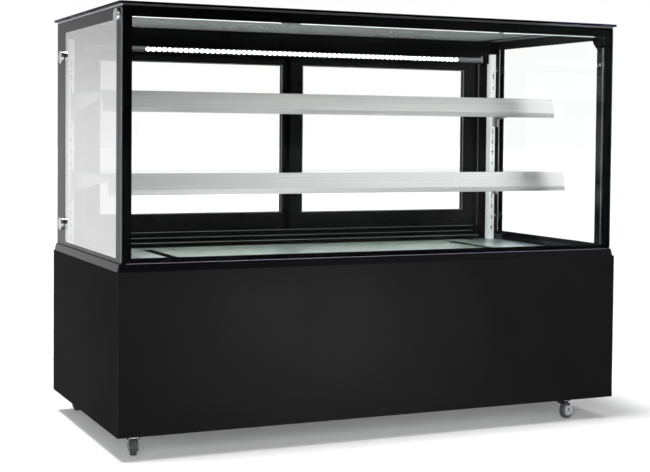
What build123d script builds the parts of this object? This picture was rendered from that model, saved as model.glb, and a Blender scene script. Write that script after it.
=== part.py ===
"""Refrigerated square-glass display case on casters, with rear sliding doors.

Millimetres. +Z is up, +X is to the right seen from the front, and the front faces -Y.
The origin is on the floor under the middle of the case.
"""
import os
from math import cos, radians, sin

from build123d import *

# Overall sizes
width = 1500.0                 # across the base panels
base_depth = 711.0             # front panel face to rear panel face
slab_overhang_rear = 6.0       # top slab behind the rear panel
ground_clearance = 62.0        # floor to the lower edge of the panels
base_height = 418.0            # lower edge of the panels to the rim
rim_height = 20.0
glass_height = 648.0           # rim to the top edge of the upright panes
slab_gap = 4.0                 # translucent seal under the slab
slab_thickness = 7.0

# Heights worked out from them
base_z = ground_clearance
base_top_z = base_z + base_height
rim_top_z = base_top_z + rim_height
glass_top_z = rim_top_z + glass_height
slab_z = glass_top_z + slab_gap
top_z = slab_z + slab_thickness

# Depths worked out from them
front_y = -(base_depth + slab_overhang_rear) / 2
back_y = front_y + base_depth
slab_back_y = back_y + slab_overhang_rear
side_x = width / 2

# Clearances
fit_gap = 0.5                  # between pieces that only stand side by side
slide_gap = 1.0                # each side of a sliding door in its channel
shaft_gap = 0.06               # radial, between a turning piece and its pin

# Base: sheets, frame and floor
sheet = 2.0
flange = 14.0                  # inward fold at the top of each panel
tube = 25.0                    # square frame tube
tube_wall = 1.5
pan_rise = 4.0                 # floor pan above the lower edge of the panels
pan_edge = 20.0                # upturned edge of the floor pan

# Rim
rim_taper = 14.0               # degrees
rim_corner = 12.0
rim_ledge = 22.0               # rim width seen from above, at the sides
rim_ledge_front = 17.5
rim_ledge_rear = 16.5
rim_edge_round = 1.5

# Glass
pane = 6.0
side_glass_inset = 10.0        # outer face of a side pane inside the base side
front_glass_inset = 5.5        # outer face of the front pane behind the base front
front_glass_side_inset = 12.3  # edge of the front pane inside the base side
front_glass_corner = 8.0
rear_inset = 5.5               # back of the glass case inside the base back
slab_side_inset = 2.5
slab_front_inset = 2.5
ceiling_seal_width = 17.0

# Glass clamp discs and corner brackets
disc_d = 38.0
disc_thickness = 10.0
disc_edge = 1.2
stud_d = 8.0
stud_hole_gap = 0.4
front_disc_back = 27.0         # behind the front pane's inner face
front_disc_down = 24.0         # below the top of the side pane
rear_disc_forward = 69.0       # in front of the side pane's rear edge
rear_disc_heights = (62.0, 547.0)   # above the rim
bracket_thickness = 4.0
bracket_reach = 84.0
bracket_height = 50.0
bracket_tab = 18.0             # tab behind the front pane
bracket_chamfer = 18.0

# Insulated tub and deck
tub_height = 150.0
tub_flange = 3.0
tub_cavity_side = 220.0        # cavity wall inside the base side
tub_cavity_front = 100.0       # cavity wall behind the base front
tub_cavity_rear = 22.0         # cavity wall in front of the rear sill
tub_floor = 42.0
deck_sheet = 2.0
deck_edge_round = 1.6
deck_side_margin = 150.0       # deck plate edge inside the base side
deck_front_margin = 60.0
deck_slot_width = 34.0
deck_slot_inset = 74.0
deck_slot_end = 50.0
deck_outlet_width = 8.0
deck_outlet_length = 60.0
deck_outlet_pitch = 75.0
deck_outlet_back = 22.0

# Rear frame
rear_frame_depth = 45.0
rear_frame_sheet = 2.0         # walls of the header and the jambs
jamb_width = 76.5
jamb_flange = 7.5
jamb_flange_reach = 40.0
sill_height = 31.0             # above the deck floor
sill_step_height = 19.0
sill_step_depth = 40.0
sill_step_margin = 110.0       # end of the low step inside the base side
sill_root_inset = 11.0         # sill end inside the side panes, below the rim top
sill_edge_round = 2.5
header_height = 79.0
header_reach = 10.0            # header in front of the rear frame

# Sliding doors
door_thickness = 17.0
door_web = 3.0                 # rib between the two channels
door_overlap = 22.0
door_stile = 41.0
door_top_rail = 34.0
door_bottom_rail = 64.0
door_glass = 12.0
door_glass_bite = 8.0
door_glass_gap = 0.2
door_channel_depth = 17.0
door_top_gap = 6.0
track_base = 2.0
track_lip = 2.0
track_height = 12.0
pull_width = 22.0
pull_height = 160.0
pull_depth = 9.0
pull_z = 300.0                 # centre of the finger pull above the door's lower edge

# Lamp
lamp_half_length = 665.0
lamp_depth = 14.0
lamp_height = 15.0
lamp_down = 61.0               # top of the lamp below the top of the glass
lamp_end = 7.0
lamp_bevel = 5.0

# Shelves
pilaster_width = 18.0
pilaster_depth = 25.0
pilaster_sheet = 1.5
pilaster_inset = 28.0          # outer face of a pilaster inside the base side
pilaster_height = 617.0
slot_pitch = 36.0
slot_length = 14.0
slot_width = 4.0
slot_start = 30.0
peg_hole_d = 4.0
shelf_pane = 6.0
upper_shelf_z = 942.5          # top face of the glass above the floor
lower_shelf_z = 719.0
upper_shelf_front = -84.0      # lower front edge of the price rail
lower_shelf_front = -149.0
rail_height = 58.0
rail_lip = 14.0
rail_lean = 12.0               # top of the price rail behind its lower edge
rail_sheet = 3.0
rail_grip = 14.0
rail_above = 2.0               # top edge of the rail above the glass
arm_sheet = 3.0
arm_root = 78.0
arm_root_length = 33.0         # deep end of an arm along the shelf
arm_step = 54.0                # arm in front of its deep end
arm_nose = 16.0
arm_short = 22.0               # arm end behind the rail
arm_hook = 8.0                 # hook reach into a pilaster slot
arm_hook_gap = 1.0             # above and below each hook

# Casters
wheel_d = 50.0
wheel_width = 18.0
wheel_edge = 4.0
wheel_dish_d = 36.0
wheel_dish = 4.0
hub_d = 22.0
hub_collar_d = 18.0
hub_width = 19.0
axle_d = 8.0
axle_cap_d = 12.0
axle_cap = 2.0
fork_sheet = 2.5
fork_gap = 21.0
fork_foot_r = 8.0
fork_heel = 6.0                # leg behind the swivel axis, at the crown
caster_trail = 22.0
crown_z = 52.0
crown_thickness = 3.0
crown_d = 32.0
race_d = 28.0
kingpin_d = 10.0
kingpin_head_d = 16.0
kingpin_head = 2.0
swivel_gap = 0.4
plate_size = 44.0
plate_corner = 5.0
plate_sheet = 3.0
bolt_pitch = 28.0
bolt_d = 5.0
bolt_hole_gap = 0.25
bolt_head_d = 9.0
bolt_head = 3.0
caster_left_inset = 55.0       # swivel axes inside the panels
caster_right_inset = 110.0
caster_front_inset = 49.5
caster_rear_inset = 52.5
caster_turn = {
    "front_left": 74.0,        # direction the wheel trails, degrees from +X
    "front_right": 200.0,
    "rear_left": 60.0,
    "rear_right": 110.0,
}
pedal_rise = 20.0              # degrees above level when the brake is off
pedal_length = 20.0
pedal_tread = 10.0
pedal_sheet = 2.5
pedal_half_height = 3.0
pedal_eye_d = 8.0
pedal_pin_d = 3.0
pedal_pin_head_d = 5.0
pedal_pin_head = 1.0
pedal_pin_x = 5.0              # behind the axle
pedal_pin_z = 43.0

# Compressor
compressor_length = 150.0
compressor_width = 126.0
compressor_body = 170.0
compressor_dome = 30.0
compressor_x = 330.0
compressor_y = 60.0
compressor_foot_r = 11.0
compressor_foot = 14.0
compressor_base = 3.0
compressor_base_length = 180.0
compressor_base_width = 136.0
compressor_base_corner = 12.0
compressor_feet_x = 144.0
compressor_feet_y = 96.0
stub_d = 14.0
stub_length = 12.0
discharge_height = 110.0       # stub above the base plate
suction_height = 70.0
suction_shift = -30.0

# Condenser and its fan
condenser_x = -420.0
condenser_width = 320.0
condenser_height = 220.0
condenser_depth = 50.0
condenser_back_gap = 28.0
condenser_lift = 14.0
condenser_fins = 9
condenser_rows = 5
shroud_depth = 30.0
fan_d = 180.0
fan_hub_d = 46.0
fan_root = 18.0                # blade width at the hub
fan_tip = 48.0                 # blade width at the tip
motor_d = 44.0

# Evaporator and its fan
coil_x = -130.0
coil_shift_y = -20.0
coil_length = 600.0
coil_depth = 220.0
coil_height = 62.0
coil_fins = 14
coil_lift = 12.0
coil_rows = 4
small_fan_d = 84.0
small_fan_hub_d = 22.0
small_fan_root = 9.0
small_fan_tip = 22.0
small_motor_d = 21.0
small_fan_x = 270.0
small_shroud = 104.0

# Common to both fans
fan_hole_gap = 6.0
fan_struts = 4.0
strut_width = 6.0
fan_hub = 14.0
fan_hub_gap = 5.0              # hub behind the struts
fan_blades = 5
fan_pitch = 24.0               # degrees
blade_sheet = 1.6
fan_shaft_d = 6.0
pipe_d = 9.0
pipe_bend = 22.0
pipe_drop = 90.0               # discharge pipe beside the compressor
suction_reach = 60.0

# Rear panel, controls and lead gland
louvre_length = 150.0
louvre_height = 8.0
louvre_pitch = 20.0
louvre_rows = 11
louvre_columns = 2
louvre_hood = 3.0
louvre_z = 110.0
louvre_gap = 20.0
exhaust_x = 450.0
pan_slot_rows = 6
pan_slot_pitch = 40.0
controls_x = 130.0
controls_z = 283.0
controller_width = 77.0
controller_height = 35.0
controller_corner = 3.0
controller_bezel = 2.0
controller_body_width = 71.0
controller_body_height = 29.0
controller_depth = 44.0
controller_shift = -60.0
display_width = 40.0
display_height = 19.0
display_recess = 1.0
display_edge = 4.0
button_d = 7.0
button_gap = 0.35
button_proud = 1.2
button_round = 0.4
button_travel = 0.8
button_flange_d = 9.0
button_flange = 1.0
button_side = 9.0              # from the side of the bezel
button_step = 18.0
button_low = -8.5              # from the middle of the controller
button_high = 7.0
switch_width = 15.0
switch_height = 21.0
switch_wall = 1.5
switch_flange = 3.0            # round the opening, on the panel
switch_flange_sheet = 1.0
switch_corner = 2.0
switch_depth = 18.0
switch_shift = (40.0, 80.0)
rocker_pin_d = 3.0
rocker_pin_depth = 5.25        # behind the panel face
rocker_well = 11.5
rocker_tilt = 8.0
rocker_face = 6.6              # in front of the pin
rocker_dish = 1.2
rocker_back = 2.6
rocker_end = 1.2               # from the end of the well
gland_x = -180.0
gland_z = 110.0
gland_bore_d = 8.4
gland_nut_d = 22.0
gland_length = 6.0
gland_thread_d = 16.0
gland_thread_length = 12.0
screw_head_d = 8.0
screw_head = 1.6
screw_inset = 20.0
screw_margin = 40.0            # end screws from the panel's upper and lower edge

# Places worked out from the sizes above
frame_x = side_x - sheet - fit_gap
frame_front_y = front_y + sheet + fit_gap
frame_back_y = back_y - sheet - fit_gap
pan_z = base_z + pan_rise
pan_top_z = pan_z + sheet
deck_z = base_top_z + tub_flange
tub_z = base_top_z - tub_height
frame_side_x = frame_x - sheet - fit_gap
frame_nose_y = frame_front_y + sheet + fit_gap
frame_top_z = base_top_z - sheet
tub_x = frame_side_x - tube - fit_gap
tub_front_y = frame_nose_y + tube + fit_gap
tub_back_y = frame_back_y - tube - fit_gap
rim_open_x = side_x - rim_ledge
rim_open_front_y = front_y + rim_ledge_front
rim_open_back_y = back_y - rim_ledge_rear
side_glass_x = side_x - side_glass_inset
side_inner_x = side_glass_x - pane
front_glass_y = front_y + front_glass_inset
front_inner_y = front_glass_y + pane
rear_y = back_y - rear_inset
case_x = side_inner_x - fit_gap
rear_frame_y = rear_y - rear_frame_depth
header_y = rear_frame_y - header_reach
header_z = glass_top_z - header_height
ceiling_back_y = header_y - fit_gap
ceiling_z = glass_top_z - pane
jamb_x = case_x - jamb_width
step_x = side_x - sill_step_margin
step_y = rear_frame_y - sill_step_depth
sill_top_z = deck_z + sill_height
channel_width = door_thickness + 2 * slide_gap
track_y = rear_frame_y - (2 * channel_width + door_web + 2 * track_lip - rear_frame_depth) / 2
channel_y = (track_y + track_lip, track_y + track_lip + channel_width + door_web)
door_y = (channel_y[0] + slide_gap, channel_y[1] + slide_gap)
door_z = sill_top_z + track_base + fit_gap
door_top_z = header_z + door_channel_depth - door_top_gap
door_outer_x = jamb_x - fit_gap
pilaster_x = side_x - pilaster_inset - pilaster_width / 2
pilaster_y = rear_frame_y - pilaster_depth
shelf_x = pilaster_x + arm_sheet / 2 + fit_gap
axle_z = wheel_d / 2
bezel_y = back_y + controller_bezel
condenser_back_y = back_y - sheet - condenser_back_gap
condenser_front_y = condenser_back_y - condenser_depth
condenser_z = pan_top_z + condenser_lift
coil_z = tub_z + tub_floor
coil_y = (tub_front_y + tub_back_y) / 2 + coil_shift_y
compressor_z = pan_top_z + compressor_foot + compressor_base


def save(builder, name):
    """Label a finished piece and write it to its own file."""
    builder.part.label = name
    export_step(builder.part, f"parts/{name}.step")


def block(x_range, y_range, z_range, mode=Mode.ADD):
    """Add or cut a box between two corners."""
    (x0, x1), (y0, y1), (z0, z1) = x_range, y_range, z_range
    with Locations(((x0 + x1) / 2, (y0 + y1) / 2, (z0 + z1) / 2)):
        Box(x1 - x0, y1 - y0, z1 - z0, mode=mode)


def both_ways(low, high, side):
    """Mirror a span across the middle when side is -1."""
    return (low, high) if side > 0 else (-high, -low)


def make_front_panel():
    with BuildPart() as panel:
        block((-side_x, side_x), (front_y, front_y + sheet), (base_z, base_top_z))
        block((-side_x + sheet, side_x - sheet), (front_y + sheet, front_y + flange),
              (base_top_z - sheet, base_top_z))
    save(panel, "front_panel")


def make_side_panel(name, side):
    with BuildPart() as panel:
        block(both_ways(side_x - sheet, side_x, side), (front_y + sheet, back_y - sheet),
              (base_z, base_top_z))
        block(both_ways(side_x - flange, side_x - sheet, side), (front_y + flange, back_y - flange),
              (base_top_z - sheet, base_top_z))
    save(panel, name)


def louvre_places():
    """X of the middle and Z of the lower edge of each louvre."""
    step = louvre_length + louvre_gap
    for bank_x in (condenser_x, exhaust_x):
        for column in range(louvre_columns):
            for row in range(louvre_rows):
                yield (bank_x + (column - (louvre_columns - 1) / 2) * step,
                       louvre_z + row * louvre_pitch)


def make_rear_panel():
    """Rear panel with two banks of hooded louvres and the openings for the controls."""
    inside_y = back_y - sheet
    with BuildPart() as panel:
        block((-side_x, side_x), (inside_y, back_y), (base_z, base_top_z))
        block((-side_x + sheet, side_x - sheet), (back_y - flange, inside_y),
              (base_top_z - sheet, base_top_z))
        for x, z in louvre_places():
            span_x = (x - louvre_length / 2, x + louvre_length / 2)
            block(span_x, (inside_y, back_y), (z, z + louvre_height), Mode.SUBTRACT)
            block(span_x, (inside_y, back_y + louvre_hood),
                  (z + louvre_height, z + louvre_height + sheet))
        centre = controls_x + controller_shift
        cut_x = controller_body_width / 2 + fit_gap
        cut_z = controller_body_height / 2 + fit_gap
        block((centre - cut_x, centre + cut_x), (inside_y, back_y),
              (controls_z - cut_z, controls_z + cut_z), Mode.SUBTRACT)
        for shift in switch_shift:
            centre = controls_x + shift
            cut_x = switch_width / 2 + switch_wall + fit_gap
            cut_z = switch_height / 2 + switch_wall + fit_gap
            block((centre - cut_x, centre + cut_x), (inside_y, back_y),
                  (controls_z - cut_z, controls_z + cut_z), Mode.SUBTRACT)
        with Locations(Plane((gland_x, back_y, gland_z), z_dir=(0, 1, 0))):
            Hole(gland_thread_d / 2 + fit_gap, depth=sheet)
    save(panel, "rear_panel")


def make_base_pan():
    """Floor pan with upturned edges, caster bolt holes and air slots under the condenser."""
    edge_z = (pan_top_z, pan_z + pan_edge)
    with BuildPart() as pan:
        block((-frame_x, frame_x), (frame_front_y, frame_back_y), (pan_z, pan_top_z))
        for side in (-1, 1):
            block(both_ways(frame_x - sheet, frame_x, side), (frame_front_y, frame_back_y), edge_z)
        block((-frame_x + sheet, frame_x - sheet), (frame_front_y, frame_front_y + sheet), edge_z)
        for x, y in caster_places().values():
            with Locations((x, y, pan_top_z)):
                with GridLocations(bolt_pitch, bolt_pitch, 2, 2):
                    Hole(bolt_d / 2 + bolt_hole_gap, depth=sheet)
        with Locations((condenser_x, 0, pan_z + sheet / 2)):
            with GridLocations(louvre_length + louvre_gap, pan_slot_pitch, louvre_columns, pan_slot_rows):
                Box(louvre_length, louvre_height, sheet, mode=Mode.SUBTRACT)
    save(pan, "base_pan")


def make_base_frame():
    """Welded square-tube frame: four posts with open feet, a top ring and a bottom ring."""
    with BuildPart() as frame:
        for wall, mode in ((0.0, Mode.ADD), (tube_wall, Mode.SUBTRACT)):
            end_x = frame_side_x - wall
            span_depth = (frame_nose_y + wall, frame_back_y - wall)
            rows_y = ((frame_nose_y + wall, frame_nose_y + tube - wall),
                      (frame_back_y - tube + wall, frame_back_y - wall))
            rails_z = ((pan_top_z + wall, pan_top_z + tube - wall),
                       (frame_top_z - tube + wall, frame_top_z - wall))
            for side in (-1, 1):
                span_x = both_ways(frame_side_x - tube + wall, end_x, side)
                for span_y in rows_y:
                    block(span_x, span_y, (pan_top_z, frame_top_z - wall), mode)
                for span_z in rails_z:
                    block(span_x, span_depth, span_z, mode)
            for span_y in rows_y:
                for span_z in rails_z:
                    block((-end_x, end_x), span_y, span_z, mode)
    save(frame, "base_frame")


def make_rim_band():
    """Tapered rim with rounded corners that carries the upright panes."""
    open_x = rim_open_x * 2
    open_y = rim_open_back_y - rim_open_front_y
    open_centre = (rim_open_back_y + rim_open_front_y) / 2
    with BuildPart() as rim:
        with BuildSketch(Plane.XY.offset(base_top_z)):
            with Locations((0, (front_y + back_y) / 2)):
                RectangleRounded(width, base_depth, rim_corner)
        extrude(amount=rim_height, taper=rim_taper)
        fillet(rim.faces().sort_by(Axis.Z)[-1].edges(), rim_edge_round)
        with BuildSketch(Plane.XY.offset(base_top_z)):
            with Locations((0, open_centre)):
                Rectangle(open_x, open_y)
        extrude(amount=rim_height, mode=Mode.SUBTRACT)
    save(rim, "rim_band")


def make_insulated_tub():
    """Foamed tub that hangs by its flange on the frame, open at the top for the evaporator."""
    with BuildPart() as tub:
        block((-tub_x, tub_x), (tub_front_y, tub_back_y), (tub_z, frame_top_z))
        block((-rim_open_x + fit_gap, rim_open_x - fit_gap),
              (rim_open_front_y + fit_gap, rim_open_back_y - fit_gap), (frame_top_z, deck_z))
        block((-side_x + tub_cavity_side, side_x - tub_cavity_side),
              (front_y + tub_cavity_front, step_y - tub_cavity_rear),
              (coil_z, deck_z), Mode.SUBTRACT)
    save(tub, "insulated_tub")


def make_deck_plate():
    """Deck plate with a return-air slot at each end and a row of outlets near the front."""
    half = side_x - deck_side_margin
    deck_front = front_y + deck_front_margin
    deck_back = step_y - fit_gap
    slot_x = half - deck_slot_inset - deck_slot_width
    outlets = int((2 * slot_x - 2 * deck_outlet_length) / deck_outlet_pitch)
    with BuildPart() as deck:
        block((-half, half), (deck_front, deck_back), (deck_z, deck_z + deck_sheet))
        fillet(deck.edges().filter_by(Axis.X).group_by(Axis.Z)[-1], deck_edge_round)
        for side in (-1, 1):
            block(both_ways(slot_x, slot_x + deck_slot_width, side),
                  (deck_front + deck_slot_end, deck_back - deck_slot_end),
                  (deck_z, deck_z + deck_sheet), Mode.SUBTRACT)
        with Locations((0, deck_front + deck_outlet_back, deck_z + deck_sheet / 2)):
            with GridLocations(deck_outlet_pitch, deck_outlet_pitch, outlets, 1):
                Box(deck_outlet_length, deck_outlet_width, deck_sheet, mode=Mode.SUBTRACT)
    save(deck, "deck_plate")


def make_front_glass():
    half = side_x - front_glass_side_inset
    with BuildPart() as glass:
        with BuildSketch(Plane.XZ.offset(-front_inner_y)) as outline:
            with Locations((0, (rim_top_z + glass_top_z) / 2)):
                Rectangle(half * 2, glass_height)
            fillet(outline.vertices().group_by(Axis.Z)[0], front_glass_corner)
        extrude(amount=pane)
    save(glass, "front_glass")


def disc_places():
    """Y and Z of the three clamp discs on each side pane."""
    places = [(front_inner_y + front_disc_back, glass_top_z - front_disc_down)]
    for height in rear_disc_heights:
        places.append((rear_y - rear_disc_forward, rim_top_z + height))
    return places


def make_side_glass(name, side):
    front = front_inner_y + fit_gap
    with BuildPart() as glass:
        block(both_ways(side_inner_x, side_glass_x, side), (front, rear_y), (rim_top_z, glass_top_z))
        for y, z in disc_places():
            with Locations(Plane((side * side_glass_x, y, z), z_dir=(side, 0, 0))):
                Hole(stud_d / 2 + stud_hole_gap, depth=pane)
    save(glass, name)


def make_glass_clamp_discs():
    """Six round clamps on the side panes, each with its stud through the glass."""
    with BuildPart() as discs:
        for side in (-1, 1):
            for index, (y, z) in enumerate(disc_places()):
                reach = pane + (bracket_thickness if index == 0 else jamb_flange)
                with BuildSketch(Plane((side * side_glass_x, y, z), z_dir=(side, 0, 0))):
                    Circle(disc_d / 2)
                extrude(amount=disc_thickness)
                with BuildSketch(Plane((side * side_glass_x, y, z), z_dir=(-side, 0, 0))):
                    Circle(stud_d / 2)
                extrude(amount=reach)
        outer = discs.edges().filter_by(GeomType.CIRCLE).filter_by(
            lambda edge: abs(abs(edge.center().X) - side_glass_x - disc_thickness) < fit_gap)
        chamfer(outer, disc_edge)
    save(discs, "glass_clamp_discs")


def make_corner_brackets():
    """Two chamfered plates inside the upper front corners, with a lug behind the front pane."""
    with BuildPart() as brackets:
        for side in (-1, 1):
            front = front_inner_y + fit_gap
            low_z = ceiling_z - fit_gap - bracket_height
            high_z = ceiling_z - fit_gap
            plate = both_ways(side_inner_x - bracket_thickness, side_inner_x, side)
            with BuildSketch(Plane((plate[0], 0, 0), x_dir=(0, 1, 0), z_dir=(1, 0, 0))):
                with BuildLine():
                    Polyline((front, low_z), (front + bracket_reach - bracket_chamfer, low_z),
                             (front + bracket_reach, low_z + bracket_chamfer),
                             (front + bracket_reach, high_z), (front, high_z), close=True)
                make_face()
            extrude(amount=bracket_thickness)
            block(both_ways(side_inner_x - bracket_tab, side_inner_x - bracket_thickness, side),
                  (front, front + bracket_thickness), (low_z, high_z))
            y, z = disc_places()[0]
            with Locations(Plane((side * side_inner_x, y, z), z_dir=(side, 0, 0))):
                Hole(stud_d / 2 + stud_hole_gap, depth=bracket_thickness)
    save(brackets, "corner_brackets")


def make_top_slab():
    with BuildPart() as slab:
        block((-side_x + slab_side_inset, side_x - slab_side_inset),
              (front_y + slab_front_inset, slab_back_y), (slab_z, top_z))
        fillet(slab.edges().group_by(Axis.Z)[-1], slab_thickness / 5)
    save(slab, "top_slab")


def make_ceiling_glass():
    with BuildPart() as ceiling:
        block((-case_x, case_x), (front_inner_y + fit_gap, ceiling_back_y), (ceiling_z, glass_top_z))
    save(ceiling, "ceiling_glass")


def make_top_spacer():
    """Translucent seal between the slab and the panes."""
    outer_x = side_glass_x - 1
    with BuildPart() as seal:
        block((-outer_x, outer_x), (front_glass_y + 1, rear_y - 1), (glass_top_z, slab_z))
        block((-outer_x + ceiling_seal_width, outer_x - ceiling_seal_width),
              (front_glass_y + 1 + ceiling_seal_width, rear_y - 1 - ceiling_seal_width),
              (glass_top_z, slab_z), Mode.SUBTRACT)
    save(seal, "top_spacer")


def make_rear_sill():
    """Rear sill with a lower step in front that ends short of the corners."""
    with BuildPart() as sill:
        with BuildSketch(Plane.XY.offset(deck_z)) as step:
            with Locations((0, (step_y + rear_frame_y) / 2)):
                Rectangle(step_x * 2, sill_step_depth)
            fillet(step.vertices().group_by(Axis.Y)[0], rim_corner)
        extrude(amount=sill_step_height)
        fillet(sill.faces().sort_by(Axis.Z)[-1].edges().sort_by(Axis.Y)[:-1], sill_edge_round)
        block((-case_x + sill_root_inset, case_x - sill_root_inset),
              (rear_frame_y, rim_open_back_y - fit_gap), (deck_z, rim_top_z))
        block((-case_x, case_x), (rear_frame_y, rear_y), (rim_top_z, sill_top_z))
        top_edges = sill.edges().filter_by(Axis.X).group_by(Axis.Z)[-1]
        fillet(top_edges.sort_by(Axis.Y)[:1], sill_edge_round)
    save(sill, "rear_sill")


def make_rear_posts():
    """Black door jambs with a forward flange along each side pane."""
    with BuildPart() as posts:
        for side in (-1, 1):
            block(both_ways(jamb_x, case_x, side), (rear_frame_y, rear_y), (sill_top_z, header_z))
            block(both_ways(jamb_x + rear_frame_sheet, case_x - rear_frame_sheet, side),
                  (rear_frame_y + rear_frame_sheet, rear_y - rear_frame_sheet),
                  (sill_top_z, header_z), Mode.SUBTRACT)
            block(both_ways(case_x - jamb_flange, case_x, side),
                  (rear_frame_y - jamb_flange_reach, rear_frame_y), (rim_top_z, header_z))
            block(both_ways(case_x - jamb_flange, case_x, side),
                  (rear_frame_y - jamb_flange_reach, ceiling_back_y), (header_z, ceiling_z - fit_gap))
            for y, z in disc_places()[1:]:
                with Locations(Plane((side * case_x, y, z), z_dir=(side, 0, 0))):
                    Hole(stud_d / 2 + stud_hole_gap, depth=jamb_flange)
    save(posts, "rear_posts")


def make_header_duct():
    """Black hollow header with two channels for the tops of the doors."""
    duct_z = header_z + door_channel_depth + rear_frame_sheet
    with BuildPart() as header:
        block((-case_x, case_x), (header_y, rear_y), (header_z, glass_top_z))
        block((-case_x, case_x), (header_y + rear_frame_sheet, rear_y - rear_frame_sheet),
              (duct_z, glass_top_z - rear_frame_sheet), Mode.SUBTRACT)
        for start_y in channel_y:
            block((-jamb_x, jamb_x), (start_y, start_y + channel_width),
                  (header_z, header_z + door_channel_depth), Mode.SUBTRACT)
    save(header, "header_duct")


def make_bottom_track():
    """Double track: a base with three ribs."""
    end_x = jamb_x - fit_gap
    back = channel_y[1] + channel_width + track_lip
    with BuildPart() as track:
        block((-end_x, end_x), (track_y, back), (sill_top_z, sill_top_z + track_base))
        top = sill_top_z + track_base + track_height
        for span_y in ((track_y, channel_y[0]),
                       (channel_y[0] + channel_width, channel_y[1]),
                       (channel_y[1] + channel_width, back)):
            block((-end_x, end_x), span_y, (sill_top_z + track_base, top))
    save(track, "bottom_track")


def make_door(name, side, lane):
    """Door frame with a glazing groove and a finger pull sunk in its outer stile."""
    near, far = door_y[lane], door_y[lane] + door_thickness
    outer = both_ways(-door_overlap / 2, door_outer_x, side)
    open_x = (outer[0] + door_stile, outer[1] - door_stile)
    open_z = (door_z + door_bottom_rail, door_top_z - door_top_rail)
    glass_y = ((near + far - door_glass) / 2, (near + far + door_glass) / 2)
    pull_x = both_ways(door_outer_x - (door_stile + pull_width) / 2,
                       door_outer_x - (door_stile - pull_width) / 2, side)
    pull_low = door_z + pull_z - pull_height / 2
    with BuildPart() as frame:
        block(outer, (near, far), (door_z, door_top_z))
        block(open_x, (near, far), open_z, Mode.SUBTRACT)
        block((open_x[0] - door_glass_bite, open_x[1] + door_glass_bite),
              (glass_y[0] - door_glass_gap, glass_y[1] + door_glass_gap),
              (open_z[0] - door_glass_bite, open_z[1] + door_glass_bite), Mode.SUBTRACT)
        block(pull_x, (far - pull_depth, far), (pull_low, pull_low + pull_height), Mode.SUBTRACT)
    save(frame, f"{name}_door_frame")
    with BuildPart() as glass:
        bite = door_glass_bite - fit_gap
        block((open_x[0] - bite, open_x[1] + bite), glass_y, (open_z[0] - bite, open_z[1] + bite))
    save(glass, f"{name}_door_glass")


def make_led_lamp():
    """Lamp profile under the header with a bevelled lower front edge and end brackets."""
    high = glass_top_z - lamp_down
    low = high - lamp_height
    front = header_y - lamp_depth
    with BuildPart() as lamp:
        with BuildSketch(Plane.YZ.offset(-lamp_half_length)):
            with BuildLine():
                Polyline((front, high), (header_y, high), (header_y, low),
                         (front + lamp_bevel, low), (front, low + lamp_bevel), close=True)
            make_face()
        extrude(amount=lamp_half_length * 2)
        for side in (-1, 1):
            block(both_ways(lamp_half_length, lamp_half_length + lamp_end, side),
                  (front, header_y), (low, high + lamp_end))
    save(lamp, "led_lamp")


def slot_heights():
    """Lower edge of each slot in a pilaster."""
    count = int((pilaster_height - 2 * slot_start) / slot_pitch)
    return [deck_z + slot_start + index * slot_pitch for index in range(count)]


def make_pilasters():
    """Slotted uprights that carry the shelf arms, notched round the header."""
    top = deck_z + pilaster_height
    with BuildPart() as pilasters:
        for side in (-1, 1):
            centre = side * pilaster_x
            low, high = centre - pilaster_width / 2, centre + pilaster_width / 2
            face_y = pilaster_y + pilaster_sheet
            block((low, high), (pilaster_y, rear_frame_y), (deck_z, top))
            block((low + pilaster_sheet, high - pilaster_sheet), (face_y, rear_frame_y),
                  (deck_z, top), Mode.SUBTRACT)
            block((low, high), (header_y, rear_frame_y), (header_z, top), Mode.SUBTRACT)
            for slot_z in slot_heights():
                block((centre - slot_width / 2, centre + slot_width / 2), (pilaster_y, face_y),
                      (slot_z, slot_z + slot_length), Mode.SUBTRACT)
                peg_z = slot_z + (slot_length + slot_pitch) / 2
                with Locations(Plane((centre, pilaster_y, peg_z), z_dir=(0, -1, 0))):
                    Hole(peg_hole_d / 2, depth=pilaster_sheet)
    save(pilasters, "pilasters")


def shelves():
    """Name, height of the glass and front edge of each shelf."""
    return (("upper", upper_shelf_z, upper_shelf_front), ("lower", lower_shelf_z, lower_shelf_front))


def make_shelf_glass():
    for name, glass_z, front in shelves():
        glass_front = front + rail_lean + rail_sheet + fit_gap
        with BuildPart() as glass:
            block((-shelf_x, shelf_x), (glass_front, pilaster_y - fit_gap),
                  (glass_z - shelf_pane, glass_z))
        save(glass, f"{name}_shelf_glass")


def make_price_rails():
    """Leaning price rails with an upright lip below, each gripping a shelf pane."""
    with BuildPart() as rails:
        for _, glass_z, front in shelves():
            top = glass_z + rail_above
            low = top - rail_height
            knee = low + rail_lip
            top_y = front + rail_lean
            seat = glass_z - shelf_pane
            inner_y = top_y + rail_sheet - rail_lean * (top - seat + rail_sheet) / (top - knee)
            with BuildSketch(Plane.YZ.offset(-shelf_x)):
                with BuildLine():
                    Polyline((top_y, top), (front, knee), (front, low), (front + rail_sheet, low),
                             (front + rail_sheet, knee), (inner_y, seat - rail_sheet),
                             (top_y + rail_grip, seat - rail_sheet), (top_y + rail_grip, seat),
                             (top_y + rail_sheet, seat), (top_y + rail_sheet, top), close=True)
                make_face()
            extrude(amount=shelf_x * 2)
    save(rails, "price_rails")


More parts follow.
